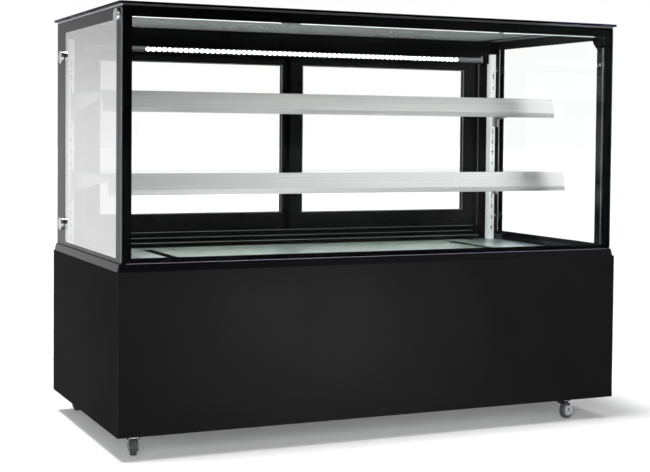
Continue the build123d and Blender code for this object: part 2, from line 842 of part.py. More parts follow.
def make_shelf_arms():
    """Stepped, tapered arms with hooks in the pilaster slots, under each end of a shelf."""
    with BuildPart() as arms:
        for _, glass_z, front in shelves():
            under = glass_z - shelf_pane
            nose_y = front + rail_lean + arm_short
            root_y = pilaster_y - fit_gap / 2
            step_y = root_y - arm_root_length
            for side in (-1, 1):
                start_x = side * pilaster_x - arm_sheet / 2
                with BuildSketch(Plane.YZ.offset(start_x)):
                    with BuildLine():
                        Polyline((nose_y, under), (nose_y, under - arm_nose),
                                 (step_y, under - arm_step), (step_y, under - arm_root),
                                 (root_y, under - arm_root), (root_y, under), close=True)
                    make_face()
                extrude(amount=arm_sheet)
                for slot_z in slot_heights():
                    if under - arm_root < slot_z and slot_z + slot_length < under:
                        block((start_x, start_x + arm_sheet), (root_y, root_y + arm_hook),
                              (slot_z + arm_hook_gap, slot_z + slot_length - arm_hook_gap))
    save(arms, "shelf_arms")


def caster_places():
    """Swivel axis of each caster, by name."""
    left, right = -side_x + caster_left_inset, side_x - caster_right_inset
    front, rear = front_y + caster_front_inset, back_y - caster_rear_inset
    return {
        "front_left": (left, front),
        "front_right": (right, front),
        "rear_left": (left, rear),
        "rear_right": (right, rear),
    }


def make_caster_plates():
    """Four top plates with their races and riveted kingpins."""
    plate_z = pan_z - plate_sheet
    race_z = crown_z + crown_thickness + swivel_gap
    head_top_z = crown_z - swivel_gap
    with BuildPart() as plates:
        for x, y in caster_places().values():
            with BuildSketch(Plane((x, y, plate_z))):
                RectangleRounded(plate_size, plate_size, plate_corner)
                with GridLocations(bolt_pitch, bolt_pitch, 2, 2):
                    Circle(bolt_d / 2 + bolt_hole_gap, mode=Mode.SUBTRACT)
            extrude(amount=plate_sheet)
            with BuildSketch(Plane((x, y, race_z))):
                Circle(race_d / 2)
            extrude(amount=plate_z - race_z)
            with BuildSketch(Plane((x, y, head_top_z))):
                Circle(kingpin_d / 2)
            extrude(amount=race_z - head_top_z)
            with BuildSketch(Plane((x, y, head_top_z - kingpin_head))):
                Circle(kingpin_head_d / 2)
            extrude(amount=kingpin_head)
    save(plates, "caster_plates")


def make_caster_bolts():
    """Bolts through the caster plates and the floor pan, with their nuts on top."""
    plate_z = pan_z - plate_sheet
    with BuildPart() as bolts:
        for x, y in caster_places().values():
            for low_z, radius, tall in ((plate_z - bolt_head, bolt_head_d / 2, bolt_head),
                                        (pan_top_z, bolt_head_d / 2, bolt_head)):
                with BuildSketch(Plane((x, y, low_z))):
                    with GridLocations(bolt_pitch, bolt_pitch, 2, 2):
                        RegularPolygon(radius, 6)
                extrude(amount=tall)
            with BuildSketch(Plane((x, y, plate_z))):
                with GridLocations(bolt_pitch, bolt_pitch, 2, 2):
                    Circle(bolt_d / 2)
            extrude(amount=pan_top_z - plate_z)
    save(bolts, "caster_bolts")


def caster_plane(name, height):
    """Level plane at the swivel axis, with X along the wheel's trail."""
    x, y = caster_places()[name]
    turn = radians(caster_turn[name])
    return Plane((x, y, height), x_dir=(cos(turn), sin(turn), 0), z_dir=(0, 0, 1))


def wheel_plane(name, across, reach=0.0, height=0.0, rise=0.0):
    """Upright plane along the wheel, Y up.

    Its origin is the axle's middle, moved sideways by across, back by reach and up by height.
    Rise turns its X up, in degrees.
    """
    x, y = caster_places()[name]
    turn = radians(caster_turn[name])
    lift = radians(rise)
    back = caster_trail + reach
    origin = (x + cos(turn) * back + sin(turn) * across,
              y + sin(turn) * back - cos(turn) * across, axle_z + height)
    along = (cos(turn) * cos(lift), sin(turn) * cos(lift), sin(lift))
    return Plane(origin, x_dir=along, z_dir=(sin(turn), -cos(turn), 0))


def round_bar(plane, diameter, length):
    """Add a straight round bar that starts on a plane."""
    with BuildSketch(plane) as section:
        Circle(diameter / 2)
    extrude(to_extrude=section.sketch, amount=length)


def make_caster_fork(name, braked):
    """Fork with its crown, two legs, the riveted axle and the pedal pins of a braked one."""
    leg_top = crown_z - axle_z
    outer = fork_gap / 2 + fork_sheet
    with BuildPart() as fork:
        with BuildSketch(caster_plane(name, crown_z)):
            Circle(crown_d / 2)
            with Locations((caster_trail / 2, 0)):
                Rectangle(caster_trail, outer * 2)
            Circle(kingpin_d / 2 + shaft_gap, mode=Mode.SUBTRACT)
        extrude(amount=crown_thickness)
        for across in (-outer, fork_gap / 2):
            with BuildSketch(wheel_plane(name, across)):
                with BuildLine():
                    Polyline((-fork_foot_r, 0), (-caster_trail - fork_heel, leg_top),
                             (fork_foot_r, leg_top), (fork_foot_r, 0), close=True)
                make_face()
                Circle(fork_foot_r)
            extrude(amount=fork_sheet)
        round_bar(wheel_plane(name, -outer - axle_cap), axle_cap_d, axle_cap)
        round_bar(wheel_plane(name, outer), axle_cap_d, axle_cap)
        round_bar(wheel_plane(name, -fork_gap / 2), axle_d, fork_gap)
        if braked:
            height = pedal_pin_z - axle_z
            stem = swivel_gap * 2 + pedal_sheet
            for start, head in ((outer, outer + stem), (-outer - stem, -outer - stem - pedal_pin_head)):
                round_bar(wheel_plane(name, start, pedal_pin_x, height), pedal_pin_d, stem)
                round_bar(wheel_plane(name, head, pedal_pin_x, height), pedal_pin_head_d, pedal_pin_head)
    save(fork, f"caster_fork_{name}")


def make_caster_wheel(name):
    """Wheel with a rounded tread, dished faces and a bored hub."""
    with BuildPart() as wheel:
        with BuildSketch(wheel_plane(name, -wheel_width / 2)):
            Circle(wheel_d / 2)
        extrude(amount=wheel_width)
        fillet(wheel.edges().filter_by(GeomType.CIRCLE), wheel_edge)
        for across in (-wheel_width / 2, wheel_width / 2 - wheel_dish):
            with BuildSketch(wheel_plane(name, across)):
                Circle(wheel_dish_d / 2)
                Circle(hub_d / 2, mode=Mode.SUBTRACT)
            extrude(amount=wheel_dish, mode=Mode.SUBTRACT)
        with BuildSketch(wheel_plane(name, -hub_width / 2)):
            Circle(hub_collar_d / 2)
        extrude(amount=hub_width)
        with BuildSketch(wheel_plane(name, -hub_width / 2)):
            Circle(axle_d / 2 + shaft_gap)
        extrude(amount=hub_width, mode=Mode.SUBTRACT)
    save(wheel, f"caster_wheel_{name}")


def make_caster_pedal(name):
    """Brake pedal on two pins of the fork, with a tread behind the wheel."""
    reach = fork_gap / 2 + fork_sheet + swivel_gap
    height = pedal_pin_z - axle_z

    def pedal_plane(across):
        return wheel_plane(name, across, pedal_pin_x, height, pedal_rise)

    with BuildPart() as pedal:
        for across in (-reach - pedal_sheet, reach):
            with BuildSketch(pedal_plane(across)):
                Circle(pedal_eye_d / 2)
                with Locations((pedal_length / 2, 0)):
                    Rectangle(pedal_length, pedal_half_height * 2)
                Circle(pedal_pin_d / 2 + shaft_gap, mode=Mode.SUBTRACT)
            extrude(amount=pedal_sheet)
        with BuildSketch(pedal_plane(-reach - pedal_sheet)):
            with Locations((pedal_length - pedal_sheet / 2, 0)):
                Rectangle(pedal_sheet, pedal_half_height * 2)
            with Locations((pedal_length + pedal_tread / 2, pedal_half_height - pedal_sheet / 2)):
                Rectangle(pedal_tread, pedal_sheet)
        extrude(amount=2 * (reach + pedal_sheet))
    save(pedal, f"caster_pedal_{name}")


def make_compressor():
    """Hermetic compressor: domed pot on a base plate with rubber feet and two pipe stubs."""
    stub_x = compressor_x - compressor_length / 2 - stub_length
    with BuildPart() as pot:
        with BuildSketch(Plane((compressor_x, compressor_y, compressor_z))):
            Ellipse(compressor_length / 2, compressor_width / 2)
        extrude(amount=compressor_body)
        fillet(pot.faces().sort_by(Axis.Z)[-1].edges(), compressor_dome)
        with BuildSketch(Plane((compressor_x, compressor_y, compressor_z - compressor_base))):
            RectangleRounded(compressor_base_length, compressor_base_width, compressor_base_corner)
        extrude(amount=compressor_base)
        with BuildSketch(Plane((compressor_x, compressor_y, pan_top_z))):
            with GridLocations(compressor_feet_x, compressor_feet_y, 2, 2):
                Circle(compressor_foot_r)
        extrude(amount=compressor_foot)
        for y, height in ((compressor_y, discharge_height), (compressor_y + suction_shift, suction_height)):
            plane = Plane((stub_x, y, compressor_z + height), z_dir=(1, 0, 0))
            round_bar(plane, stub_d, compressor_x - stub_x)
    save(pot, "compressor")


def make_condenser_coil():
    """Condenser: fins, tube rows and two feet, behind the rear louvres."""
    half = condenser_width / 2
    pitch = (condenser_width - sheet) / (condenser_fins - 1)
    span_y = (condenser_front_y, condenser_back_y)
    with BuildPart() as coil:
        for index in range(condenser_fins):
            start = condenser_x - half + index * pitch
            block((start, start + sheet), span_y, (condenser_z, condenser_z + condenser_height))
        for row in range(condenser_rows):
            height = condenser_z + condenser_height * (row + 0.5) / condenser_rows
            plane = Plane((condenser_x - half, sum(span_y) / 2, height), z_dir=(1, 0, 0))
            round_bar(plane, pipe_d, condenser_width)
        for edge in (condenser_x - half, condenser_x + half - tube):
            block((edge, edge + tube), span_y, (pan_top_z, condenser_z))
    save(coil, "condenser_coil")


def make_fan_shroud(name, plane, square, hole_d, hub):
    """Fan housing with a round opening, a cross of struts, the motor and its shaft."""
    with BuildPart() as shroud:
        with BuildSketch(plane):
            Rectangle(square[0], square[1])
            Circle(hole_d / 2 + fan_hole_gap, mode=Mode.SUBTRACT)
        extrude(amount=shroud_depth)
        with BuildSketch(plane):
            Rectangle(square[0], strut_width)
            Rectangle(strut_width, square[1])
            Circle(hub / 2)
        extrude(amount=fan_struts)
        round_bar(plane.offset(fan_struts), fan_shaft_d, fan_hub_gap + fan_hub)
    save(shroud, name)


def make_fan_rotor(name, plane, rotor_d, hub, root, tip):
    """Bored hub with pitched blades cut to a round outline."""
    middle = plane.offset(fan_hub / 2)
    with BuildPart() as rotor:
        for index in range(fan_blades):
            turn = radians(360.0 / fan_blades * index)
            radial = plane.x_dir * cos(turn) + plane.y_dir * sin(turn)
            around = plane.z_dir.cross(radial)
            normal = plane.z_dir * cos(radians(fan_pitch)) + around * sin(radians(fan_pitch))
            with BuildSketch(Plane(middle.origin, x_dir=radial, z_dir=normal)):
                with BuildLine():
                    Polyline((fan_shaft_d, -root / 2), (rotor_d / 2, -tip / 2),
                             (rotor_d / 2, tip / 2), (fan_shaft_d, root / 2), close=True)
                make_face()
            extrude(amount=blade_sheet / 2, both=True)
        with BuildSketch(middle.offset(-shroud_depth / 2)):
            Circle(rotor_d / 2)
        extrude(amount=shroud_depth, mode=Mode.INTERSECT)
        with BuildSketch(plane):
            Circle(hub / 2)
        extrude(amount=fan_hub)
        with BuildSketch(middle.offset(-shroud_depth / 2)):
            Circle(fan_shaft_d / 2 + shaft_gap)
        extrude(amount=shroud_depth, mode=Mode.SUBTRACT)
    save(rotor, name)


def make_fans():
    """Condenser fan facing the louvres and evaporator fan inside the tub."""
    back = Plane((condenser_x, condenser_front_y - shroud_depth, condenser_z + condenser_height / 2),
                 x_dir=(1, 0, 0), z_dir=(0, 1, 0))
    square = (condenser_width, condenser_height)
    start = fan_struts + fan_hub_gap
    make_fan_shroud("condenser_fan_shroud", back, square, fan_d, motor_d)
    make_fan_rotor("condenser_fan_rotor", back.offset(start), fan_d, fan_hub_d, fan_root, fan_tip)
    inner = Plane((small_fan_x, coil_y, coil_z + small_shroud / 2), x_dir=(0, 1, 0), z_dir=(1, 0, 0))
    square = (small_shroud, small_shroud)
    make_fan_shroud("evaporator_fan_shroud", inner, square, small_fan_d, small_motor_d)
    make_fan_rotor("evaporator_fan_rotor", inner.offset(start), small_fan_d, small_fan_hub_d,
                   small_fan_root, small_fan_tip)


def make_evaporator_coil():
    """Evaporator: fins and tube rows, standing on its end plates on the tub floor."""
    pitch = (coil_length - sheet) / (coil_fins - 1)
    start_x = coil_x - coil_length / 2
    with BuildPart() as coil:
        for index in range(coil_fins):
            low = coil_z if index in (0, coil_fins - 1) else coil_z + coil_lift
            fin_x = start_x + index * pitch
            block((fin_x, fin_x + sheet), (coil_y - coil_depth / 2, coil_y + coil_depth / 2),
                  (low, coil_z + coil_lift + coil_height))
        with BuildSketch(Plane((start_x, coil_y, coil_z + coil_lift + coil_height / 2), z_dir=(1, 0, 0))):
            with GridLocations(coil_height / 2, coil_depth / coil_rows, 2, coil_rows):
                Circle(pipe_d / 2)
        extrude(amount=coil_length)
    save(coil, "evaporator_coil")


def make_refrigerant_pipes():
    """Discharge pipe to the top row of the condenser and suction pipe up to the tub."""
    stub_x = compressor_x - compressor_length / 2 - stub_length
    discharge_z = compressor_z + discharge_height
    suction_y = compressor_y + suction_shift
    suction_z = compressor_z + suction_height
    row_y = (condenser_front_y + condenser_back_y) / 2
    row_z = condenser_z + condenser_height * (condenser_rows - 0.5) / condenser_rows
    drop_x = stub_x - pipe_drop
    rise_x = stub_x - suction_reach
    routes = (
        [(stub_x, compressor_y, discharge_z), (drop_x, compressor_y, discharge_z),
         (drop_x, row_y, discharge_z), (drop_x, row_y, row_z),
         (condenser_x + condenser_width / 2, row_y, row_z)],
        [(stub_x, suction_y, suction_z), (rise_x, suction_y, suction_z), (rise_x, suction_y, tub_z)],
    )
    with BuildPart() as pipes:
        for route in routes:
            with BuildLine() as path:
                FilletPolyline(*route, radius=pipe_bend)
            with BuildSketch(Plane(route[0], z_dir=(-1, 0, 0))):
                Circle(pipe_d / 2)
            sweep(path=path.line)
    save(pipes, "refrigerant_pipes")


def rear_plane(x, y, z):
    """Plane on the rear, seen from behind, with Z outwards."""
    return Plane((x, y, z), x_dir=(-1, 0, 0), z_dir=(0, 1, 0))


def button_places():
    """X and Z of the three controller buttons."""
    edge_x = controls_x + controller_shift - controller_width / 2 + button_side
    return {
        "set": (edge_x + button_step, controls_z + button_low),
        "up": (edge_x, controls_z + button_high),
        "down": (edge_x, controls_z + button_low),
    }


def make_temperature_controller():
    """Controller with a sunk display window and three button wells."""
    centre = controls_x + controller_shift
    display_x = centre + controller_width / 2 - display_edge - display_width / 2
    well = button_gap + button_flange + button_travel + button_gap
    with BuildPart() as body:
        with BuildSketch(rear_plane(centre, back_y, controls_z)):
            RectangleRounded(controller_width, controller_height, controller_corner)
        extrude(amount=controller_bezel)
        block((centre - controller_body_width / 2, centre + controller_body_width / 2),
              (back_y - controller_depth, back_y),
              (controls_z - controller_body_height / 2, controls_z + controller_body_height / 2))
        block((display_x - display_width / 2, display_x + display_width / 2),
              (bezel_y - display_recess, bezel_y),
              (controls_z - display_height / 2, controls_z + display_height / 2), Mode.SUBTRACT)
        for x, z in button_places().values():
            with BuildSketch(rear_plane(x, back_y, z)):
                Circle(button_d / 2 + button_gap)
            extrude(amount=controller_bezel, mode=Mode.SUBTRACT)
            with BuildSketch(rear_plane(x, back_y, z)):
                Circle(button_flange_d / 2 + button_gap)
            extrude(amount=-well, mode=Mode.SUBTRACT)
    save(body, "temperature_controller")


def make_buttons():
    """Push buttons, each with a flange that holds it behind the bezel."""
    for name, (x, z) in button_places().items():
        with BuildPart() as button:
            with BuildSketch(rear_plane(x, back_y - button_gap, z)):
                Circle(button_d / 2)
            extrude(amount=button_gap + controller_bezel + button_proud)
            fillet(button.faces().sort_by(Axis.Y)[-1].edges(), button_round)
            with BuildSketch(rear_plane(x, back_y - button_gap, z)):
                Circle(button_flange_d / 2)
            extrude(amount=-button_flange)
        save(button, f"{name}_button")


def make_switch_housings():
    """Switch housings with a well and a cross pin for the rocker."""
    half_x, half_z = switch_width / 2, switch_height / 2
    with BuildPart() as housings:
        for shift in switch_shift:
            x = controls_x + shift
            with BuildSketch(rear_plane(x, back_y, controls_z)):
                RectangleRounded(switch_width + switch_flange * 2, switch_height + switch_flange * 2,
                                 switch_corner)
            extrude(amount=switch_flange_sheet)
            block((x - half_x - switch_wall, x + half_x + switch_wall), (back_y - switch_depth, back_y),
                  (controls_z - half_z - switch_wall, controls_z + half_z + switch_wall))
            block((x - half_x - button_gap, x + half_x + button_gap),
                  (back_y - rocker_well, back_y + switch_flange_sheet),
                  (controls_z - half_z - button_gap, controls_z + half_z + button_gap), Mode.SUBTRACT)
            pin_start = (x - half_x - switch_wall / 2, back_y - rocker_pin_depth, controls_z)
            round_bar(Plane(pin_start, z_dir=(1, 0, 0)), rocker_pin_d, switch_width + switch_wall)
    save(housings, "switch_housings")


def make_rockers():
    """Rockers on their pins, tilted to the off side."""
    half = switch_height / 2 - rocker_end
    outline = [(-rocker_back, -half / 3), (rocker_face, -half), (rocker_face - rocker_dish, 0),
               (rocker_face, half), (-rocker_back, half / 3)]
    for name, shift in zip(("power", "light"), switch_shift):
        start = (controls_x + shift - switch_width / 2, back_y - rocker_pin_depth, controls_z)
        tilt = radians(rocker_tilt)
        with BuildPart() as rocker:
            with BuildSketch(Plane(start, x_dir=(0, cos(tilt), sin(tilt)), z_dir=(1, 0, 0))):
                with BuildLine():
                    Polyline(*outline, close=True)
                make_face()
                Circle(rocker_pin_d / 2 + shaft_gap, mode=Mode.SUBTRACT)
            extrude(amount=switch_width)
        save(rocker, f"{name}_switch")


def make_lead_gland():
    """Gland for the mains lead: a nut outside, a thread through the panel and a bore."""
    with BuildPart() as gland:
        with BuildSketch(rear_plane(gland_x, back_y, gland_z)):
            RegularPolygon(gland_nut_d / 2, 6)
        extrude(amount=gland_length)
        with BuildSketch(rear_plane(gland_x, back_y, gland_z)):
            Circle(gland_thread_d / 2)
        extrude(amount=-gland_thread_length)
        with BuildSketch(rear_plane(gland_x, back_y - gland_thread_length, gland_z)):
            Circle(gland_bore_d / 2)
        extrude(amount=gland_thread_length + gland_length, mode=Mode.SUBTRACT)
    save(gland, "lead_gland")


def make_panel_screws():
    """Screws down both sides of the rear panel."""
    heights = (base_z + screw_margin, (base_z + base_top_z) / 2, base_top_z - screw_margin)
    with BuildPart() as screws:
        for side in (-1, 1):
            for z in heights:
                round_bar(rear_plane(side * (side_x - screw_inset), back_y, z), screw_head_d, screw_head)
    save(screws, "panel_screws")


def main():
    os.makedirs("parts", exist_ok=True)
    make_front_panel()
    make_side_panel("left_side_panel", -1)
    make_side_panel("right_side_panel", 1)
    make_rear_panel()
    make_base_pan()
    make_base_frame()
    make_rim_band()
    make_insulated_tub()
    make_deck_plate()
    make_front_glass()
    make_side_glass("left_side_glass", -1)
    make_side_glass("right_side_glass", 1)
    make_glass_clamp_discs()
    make_corner_brackets()
    make_top_slab()
    make_ceiling_glass()
    make_top_spacer()
    make_rear_sill()
    make_rear_posts()
    make_header_duct()
    make_bottom_track()
    make_door("left", -1, 1)
    make_door("right", 1, 0)
    make_led_lamp()
    make_pilasters()
    make_shelf_glass()
    make_price_rails()
    make_shelf_arms()
    make_caster_plates()
    make_caster_bolts()
    for name in caster_places():
        braked = name.startswith("front")
        make_caster_fork(name, braked)
        make_caster_wheel(name)
        if braked:
            make_caster_pedal(name)
    make_compressor()
    make_condenser_coil()
    make_fans()
    make_evaporator_coil()
    make_refrigerant_pipes()
    make_temperature_controller()
    make_buttons()
    make_switch_housings()
    make_rockers()
    make_lead_gland()
    make_panel_screws()


main()
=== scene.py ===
"""Looks of a refrigerated glass display case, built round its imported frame.

Metres, in the frame's axes: +Z up, +X to the right seen from the front, front facing -Y.
"""

from math import cos, pi, radians, sin

import bmesh
import bpy
from mathutils import Matrix, Vector


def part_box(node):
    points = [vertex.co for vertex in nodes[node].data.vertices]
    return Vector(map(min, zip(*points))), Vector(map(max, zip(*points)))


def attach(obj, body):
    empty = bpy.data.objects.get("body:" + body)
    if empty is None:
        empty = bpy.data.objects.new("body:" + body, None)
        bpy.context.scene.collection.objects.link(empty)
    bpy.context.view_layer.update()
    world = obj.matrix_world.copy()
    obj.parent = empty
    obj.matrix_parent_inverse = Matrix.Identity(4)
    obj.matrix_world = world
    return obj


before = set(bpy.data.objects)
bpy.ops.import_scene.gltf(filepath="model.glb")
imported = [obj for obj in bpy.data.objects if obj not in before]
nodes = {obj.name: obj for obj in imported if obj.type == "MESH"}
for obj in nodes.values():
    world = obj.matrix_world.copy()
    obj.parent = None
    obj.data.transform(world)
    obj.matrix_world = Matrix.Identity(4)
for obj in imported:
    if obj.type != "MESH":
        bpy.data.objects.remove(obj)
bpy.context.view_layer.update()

MM = 0.001
SIDES = (("left", -1), ("right", 1))

# Picture and camera
IMAGE_WIDTH = 650
IMAGE_HEIGHT = 472
SENSOR = 36.0
FOCAL_PIXELS = 1355.667
CENTRE_ROW = 181.071           # image row that the camera's axis meets
CAMERA_PLACE = (-1660.884 * MM, -3647.55 * MM, 836.415 * MM)
CAMERA_YAW = radians(24.148)
CAMERA_DROP = radians(2.075)
CAMERA_ROLL = radians(0.518)
CAMERA_REACH = 100.0

# Black print on the panes
FACE_GAP = 0.05 * MM           # between a thin piece and the face it lies on
PRINT = 0.2 * MM               # thickness
FRONT_SIDE_PRINT = 24.6 * MM
FRONT_TOP_PRINT = 27.0 * MM
FRONT_LOW_PRINT = 14.0 * MM
SIDE_TOP_PRINT = 32.0 * MM
SIDE_LOW_PRINT = 11.0 * MM
SIDE_FRONT_PRINT = {"left": 46.0 * MM, "right": 74.0 * MM}
SIDE_REAR_PRINT = 98.0 * MM
SLAB_SIDE_PRINT = 60.0 * MM
SLAB_FRONT_PRINT = 70.0 * MM
SLAB_REAR_PRINT = 20.0 * MM
SLAB_BARE_EDGE = 1.0 * MM

# Edge under the header print of the front pane, with its two gaps; its glow is a painted highlight of the
# lamp's light
TRIM_HEIGHT = 1.4 * MM
TRIM_DEPTH = 1.0 * MM
TRIM_ROUND = 0.2 * MM
TRIM_END = 676.0 * MM
TRIM_GAPS = ((-311.0 * MM, -255.0 * MM), (352.0 * MM, 367.0 * MM))

# Silicone between the panes, and the bead at the front pane's foot
JOINT_WIDTH = 2.5 * MM
JOINT_SETBACK = 2.0 * MM       # inside the outer face of the side pane
JOINT_PROUD = 0.4 * MM
JOINT_END = 4.0 * MM           # short of the pane's ends
JOINT_ROUND = 0.8 * MM
BEAD_INSET = 10.0 * MM
BEAD_DEPTH = 1.2 * MM
BEAD_GAP = 0.1 * MM
BEAD_HEIGHT = 1.3 * MM
BEAD_ROUND = 0.4 * MM

# Diodes of the lamp
LED_START = -484.0 * MM
LED_END = 572.0 * MM
LED_PITCH = 17.0 * MM
LED_HALF = 7.0 * MM            # half width
LED_DEPTH = 2.0 * MM
LED_HEIGHT = 11.0 * MM
LED_LIFT = 7.0 * MM            # middle of a diode above the lamp's lower face
LED_SEGMENTS = (16, 10)

# Gaskets of the doors, and the seal strips on the jambs
GASKET_BITE = 7.5 * MM         # inside the edge of the door's glass
GASKET_LIP = 2.2 * MM
GASKET_PROUD = 0.3 * MM
JAMB_STRIP = 669.5 * MM        # its inner edge from the middle of the case
JAMB_STRIP_Y = 302.0 * MM
JAMB_STRIP_WIDTH = 2.0 * MM
JAMB_STRIP_DEPTH = 1.5 * MM
JAMB_STRIP_LIFT = 14.0 * MM    # above the sill
JAMB_STRIP_ROUND = 0.3 * MM

# Pale lines on the black profiles; those on the sill and the track are painted highlights, the lamp's
# reflection in their rounded edges
LINE_PROUD = 0.4 * MM
SILL_LINE = 1.0 * MM           # height
SILL_LINE_END = 655.0 * MM
SILL_STEP = 40.0 * MM
SILL_LINE_HEIGHTS = (15.0 * MM, 27.0 * MM)   # above the sill's foot
PANE_LINE = 37.0 * MM          # behind the front edge of the right pane
PANE_LINE_HALF = 1.0 * MM
PANE_LINE_PROUD = 0.5 * MM
FLANGE_LINE = 7.5 * MM         # inside the right pane
FLANGE_LINE_WIDTH = 3.0 * MM

# Wheel hubs: radius, depth below the wheel's side, thickness
HUB_DISCS = ((15.0 * MM, 3.6 * MM, 0.8 * MM), (9.5 * MM, 3.0 * MM, 1.4 * MM))
HUB_SEGMENTS = 40

# Pilasters: a dark sheet behind the slots that paints the shade inside them, and screws
PILASTER_PLACE = 713.0 * MM
SLOT_SHADE_HALF = 6.0 * MM
SLOT_SHADE_DEPTHS = (2.0 * MM, 2.4 * MM)
SLOT_SHADE_ENDS = (20.0 * MM, 8.0 * MM)         # short of the pilaster's foot and head
SCREW_HEIGHTS = (525.0 * MM, 777.0 * MM, 1032.0 * MM)
SCREW_RADII = (3.4 * MM, 3.0 * MM)
SCREW_HEAD = 0.8 * MM
SCREW_PROUD = 0.2 * MM
SCREW_SEGMENTS = 20

# Studio levels
AMBIENT = 0.13
MIRRORED_LOW = 0.85            # mirrored wall behind, at the horizon and higher up
MIRRORED_HIGH = 0.42
WALL_FADE = (-0.02, 0.12)      # climb of a direction from the low to the high level
MIRRORED_FRONT = 0.07          # dark room in front
FRONT_FADE = (-0.25, 0.0)      # y of a direction from the dark room to the wall behind
PANEL_DIRECTION = (0.75, -0.5, 0.45)    # where surfaces mirror the bright studio panel
PANEL_SPREAD = (cos(radians(41)), cos(radians(12)))
PANEL_LEVEL = 3.3
FLOOR_TONES = ((0.86, 0.86, 0.86), (0.87, 0.87, 0.87))
FLOOR_CLOUD = 2.0
FLOOR_ROUGHNESS = 0.9
FLOOR_REACH = 60.0
FLOOR_SEGMENTS = 4
FLOOR_GLOW = 0.12
FLOOR_MIRRORED = 0.7           # floor as gloss shows it, beside the floor itself

# Lamps. Suns: level, width, tilt to the side. Softboxes: place, aim, size, watts, seen in gloss
SUNS = {"overhead": (2.25, 11.0, 10.0), "overhead_soft": (1.3, 50.0, 1.0)}
SUN_HEIGHT = 4.0
SUN_LEAN = -2.0
SOFTBOXES = {
    "fill_box": ((-2.2, -3.8, 1.6), (0.3, 0.2, 0.8), (1.6, 1.2), 60.0, False),
    "low_box": ((0.32, -1.75, 0.06), (-0.2, -0.36, 0.25), (0.8, 0.3), 17.0, True),
}

# Noise in the materials: its usual values, scales, and shares by which gloss and tone vary
CLOUD_SPAN = (0.3, 0.7)
PAINT_CLOUD = 6.0
PAINT_UNEVEN = 0.1
GRAIN_DETAIL = 2.0
GRAIN_DEPTH = 0.2 * MM
BRUSH_LINES = (260.0, 4.0, 0.6)    # scale, detail, roughness
BRUSH_UNEVEN = 0.2
BRUSH_RELIEF = 0.08
BRUSH_DEPTH = 0.1 * MM
PLATED_CLOUD = 60.0
PLATED_UNEVEN = 0.3
PLATED_DARK = 0.85
GLOW_CLOUD = 400.0
GLOW_DARK = 0.9

# Paint and plastic: dark tone, light tone, roughness, specular level, grain, relief, IOR, glow (emission that
# paints light on a part that is no lamp)
PAINTED = {
    "panel": ((0.0025, 0.0025, 0.003), (0.0045, 0.0045, 0.005), 0.42, 0.5, 900.0, 0.12, 1.13),
    # Rear panel: the front's black paint made about three times lighter, painted light for a face that the
    # lamps barely reach
    "rear_panel": ((0.008, 0.008, 0.0085), (0.013, 0.013, 0.014), 0.4, 0.5, 900.0, 0.12, 1.32),
    "side_panel": ((0.003, 0.003, 0.0035), (0.006, 0.006, 0.007), 0.4, 0.5, 900.0, 0.12, 1.037),
    "rim": ((0.0015, 0.0015, 0.002), (0.0025, 0.0025, 0.003), 0.08, 0.5, 40.0, 0.02, 1.1),
    "frame": ((0.0015, 0.0015, 0.0015), (0.003, 0.003, 0.003), 0.14, 0.5, 60.0, 0.02, 1.14),
    "sill": ((0.0015, 0.0015, 0.0015), (0.003, 0.003, 0.003), 0.08, 0.5, 60.0, 0.02, 1.16),
    "door_frame": ((0.0015, 0.0015, 0.0015), (0.003, 0.003, 0.003), 0.2, 0.5, 60.0, 0.03, 1.2),
    "zinc": ((0.42, 0.43, 0.44), (0.52, 0.53, 0.54), 0.5, 0.4),
    "plastic": ((0.012, 0.012, 0.013), (0.018, 0.018, 0.019), 0.5, 0.3, 1400.0, 0.2),
    "enamel": ((0.008, 0.008, 0.009), (0.014, 0.014, 0.015), 0.25, 0.4),
    "button": ((0.25, 0.26, 0.28), (0.3, 0.31, 0.33), 0.45, 0.4),
    "green": ((0.01, 0.2, 0.05), (0.015, 0.26, 0.07), 0.2, 0.5),
    "black_rocker": ((0.012, 0.012, 0.012), (0.018, 0.018, 0.018), 0.2, 0.5),
    "tyre": ((0.05, 0.05, 0.052), (0.08, 0.08, 0.082), 0.5, 0.35, 1200.0, 0.3),
    "hub": ((0.3, 0.3, 0.31), (0.38, 0.38, 0.39), 0.4, 0.4, 900.0, 0.1),
    "print": ((0.0008, 0.0008, 0.001), (0.0012, 0.0012, 0.0015), 0.2, 0.5, 60.0, 0.01, 1.05),
    "side_print": ((0.008, 0.008, 0.009), (0.012, 0.012, 0.013), 0.22, 0.5, 60.0, 0.02, 1.24),
    "silicone": ((0.2, 0.21, 0.22), (0.26, 0.27, 0.28), 0.25, 0.5),
    # The bead is silicone; its pale lilac tone paints the highlight along the joint of pane and rim
    "bead": ((0.10, 0.10, 0.13), (0.15, 0.15, 0.19), 0.2, 0.6),
    "gasket": ((0.10, 0.10, 0.10), (0.16, 0.16, 0.16), 0.35, 0.5),
    "edge_line": ((0.35, 0.35, 0.37), (0.45, 0.45, 0.47), 0.3, 0.5),
    "dark_screw": ((0.02, 0.02, 0.02), (0.05, 0.05, 0.05), 0.3, 0.5),
    # The pilasters' glow is painted light, standing in for the lamp's light on their white paint
    "pilaster": ((0.88, 0.88, 0.88), (0.94, 0.94, 0.94), 0.35, 0.5, 300.0, 0.05, 1.5, 0.3),
}
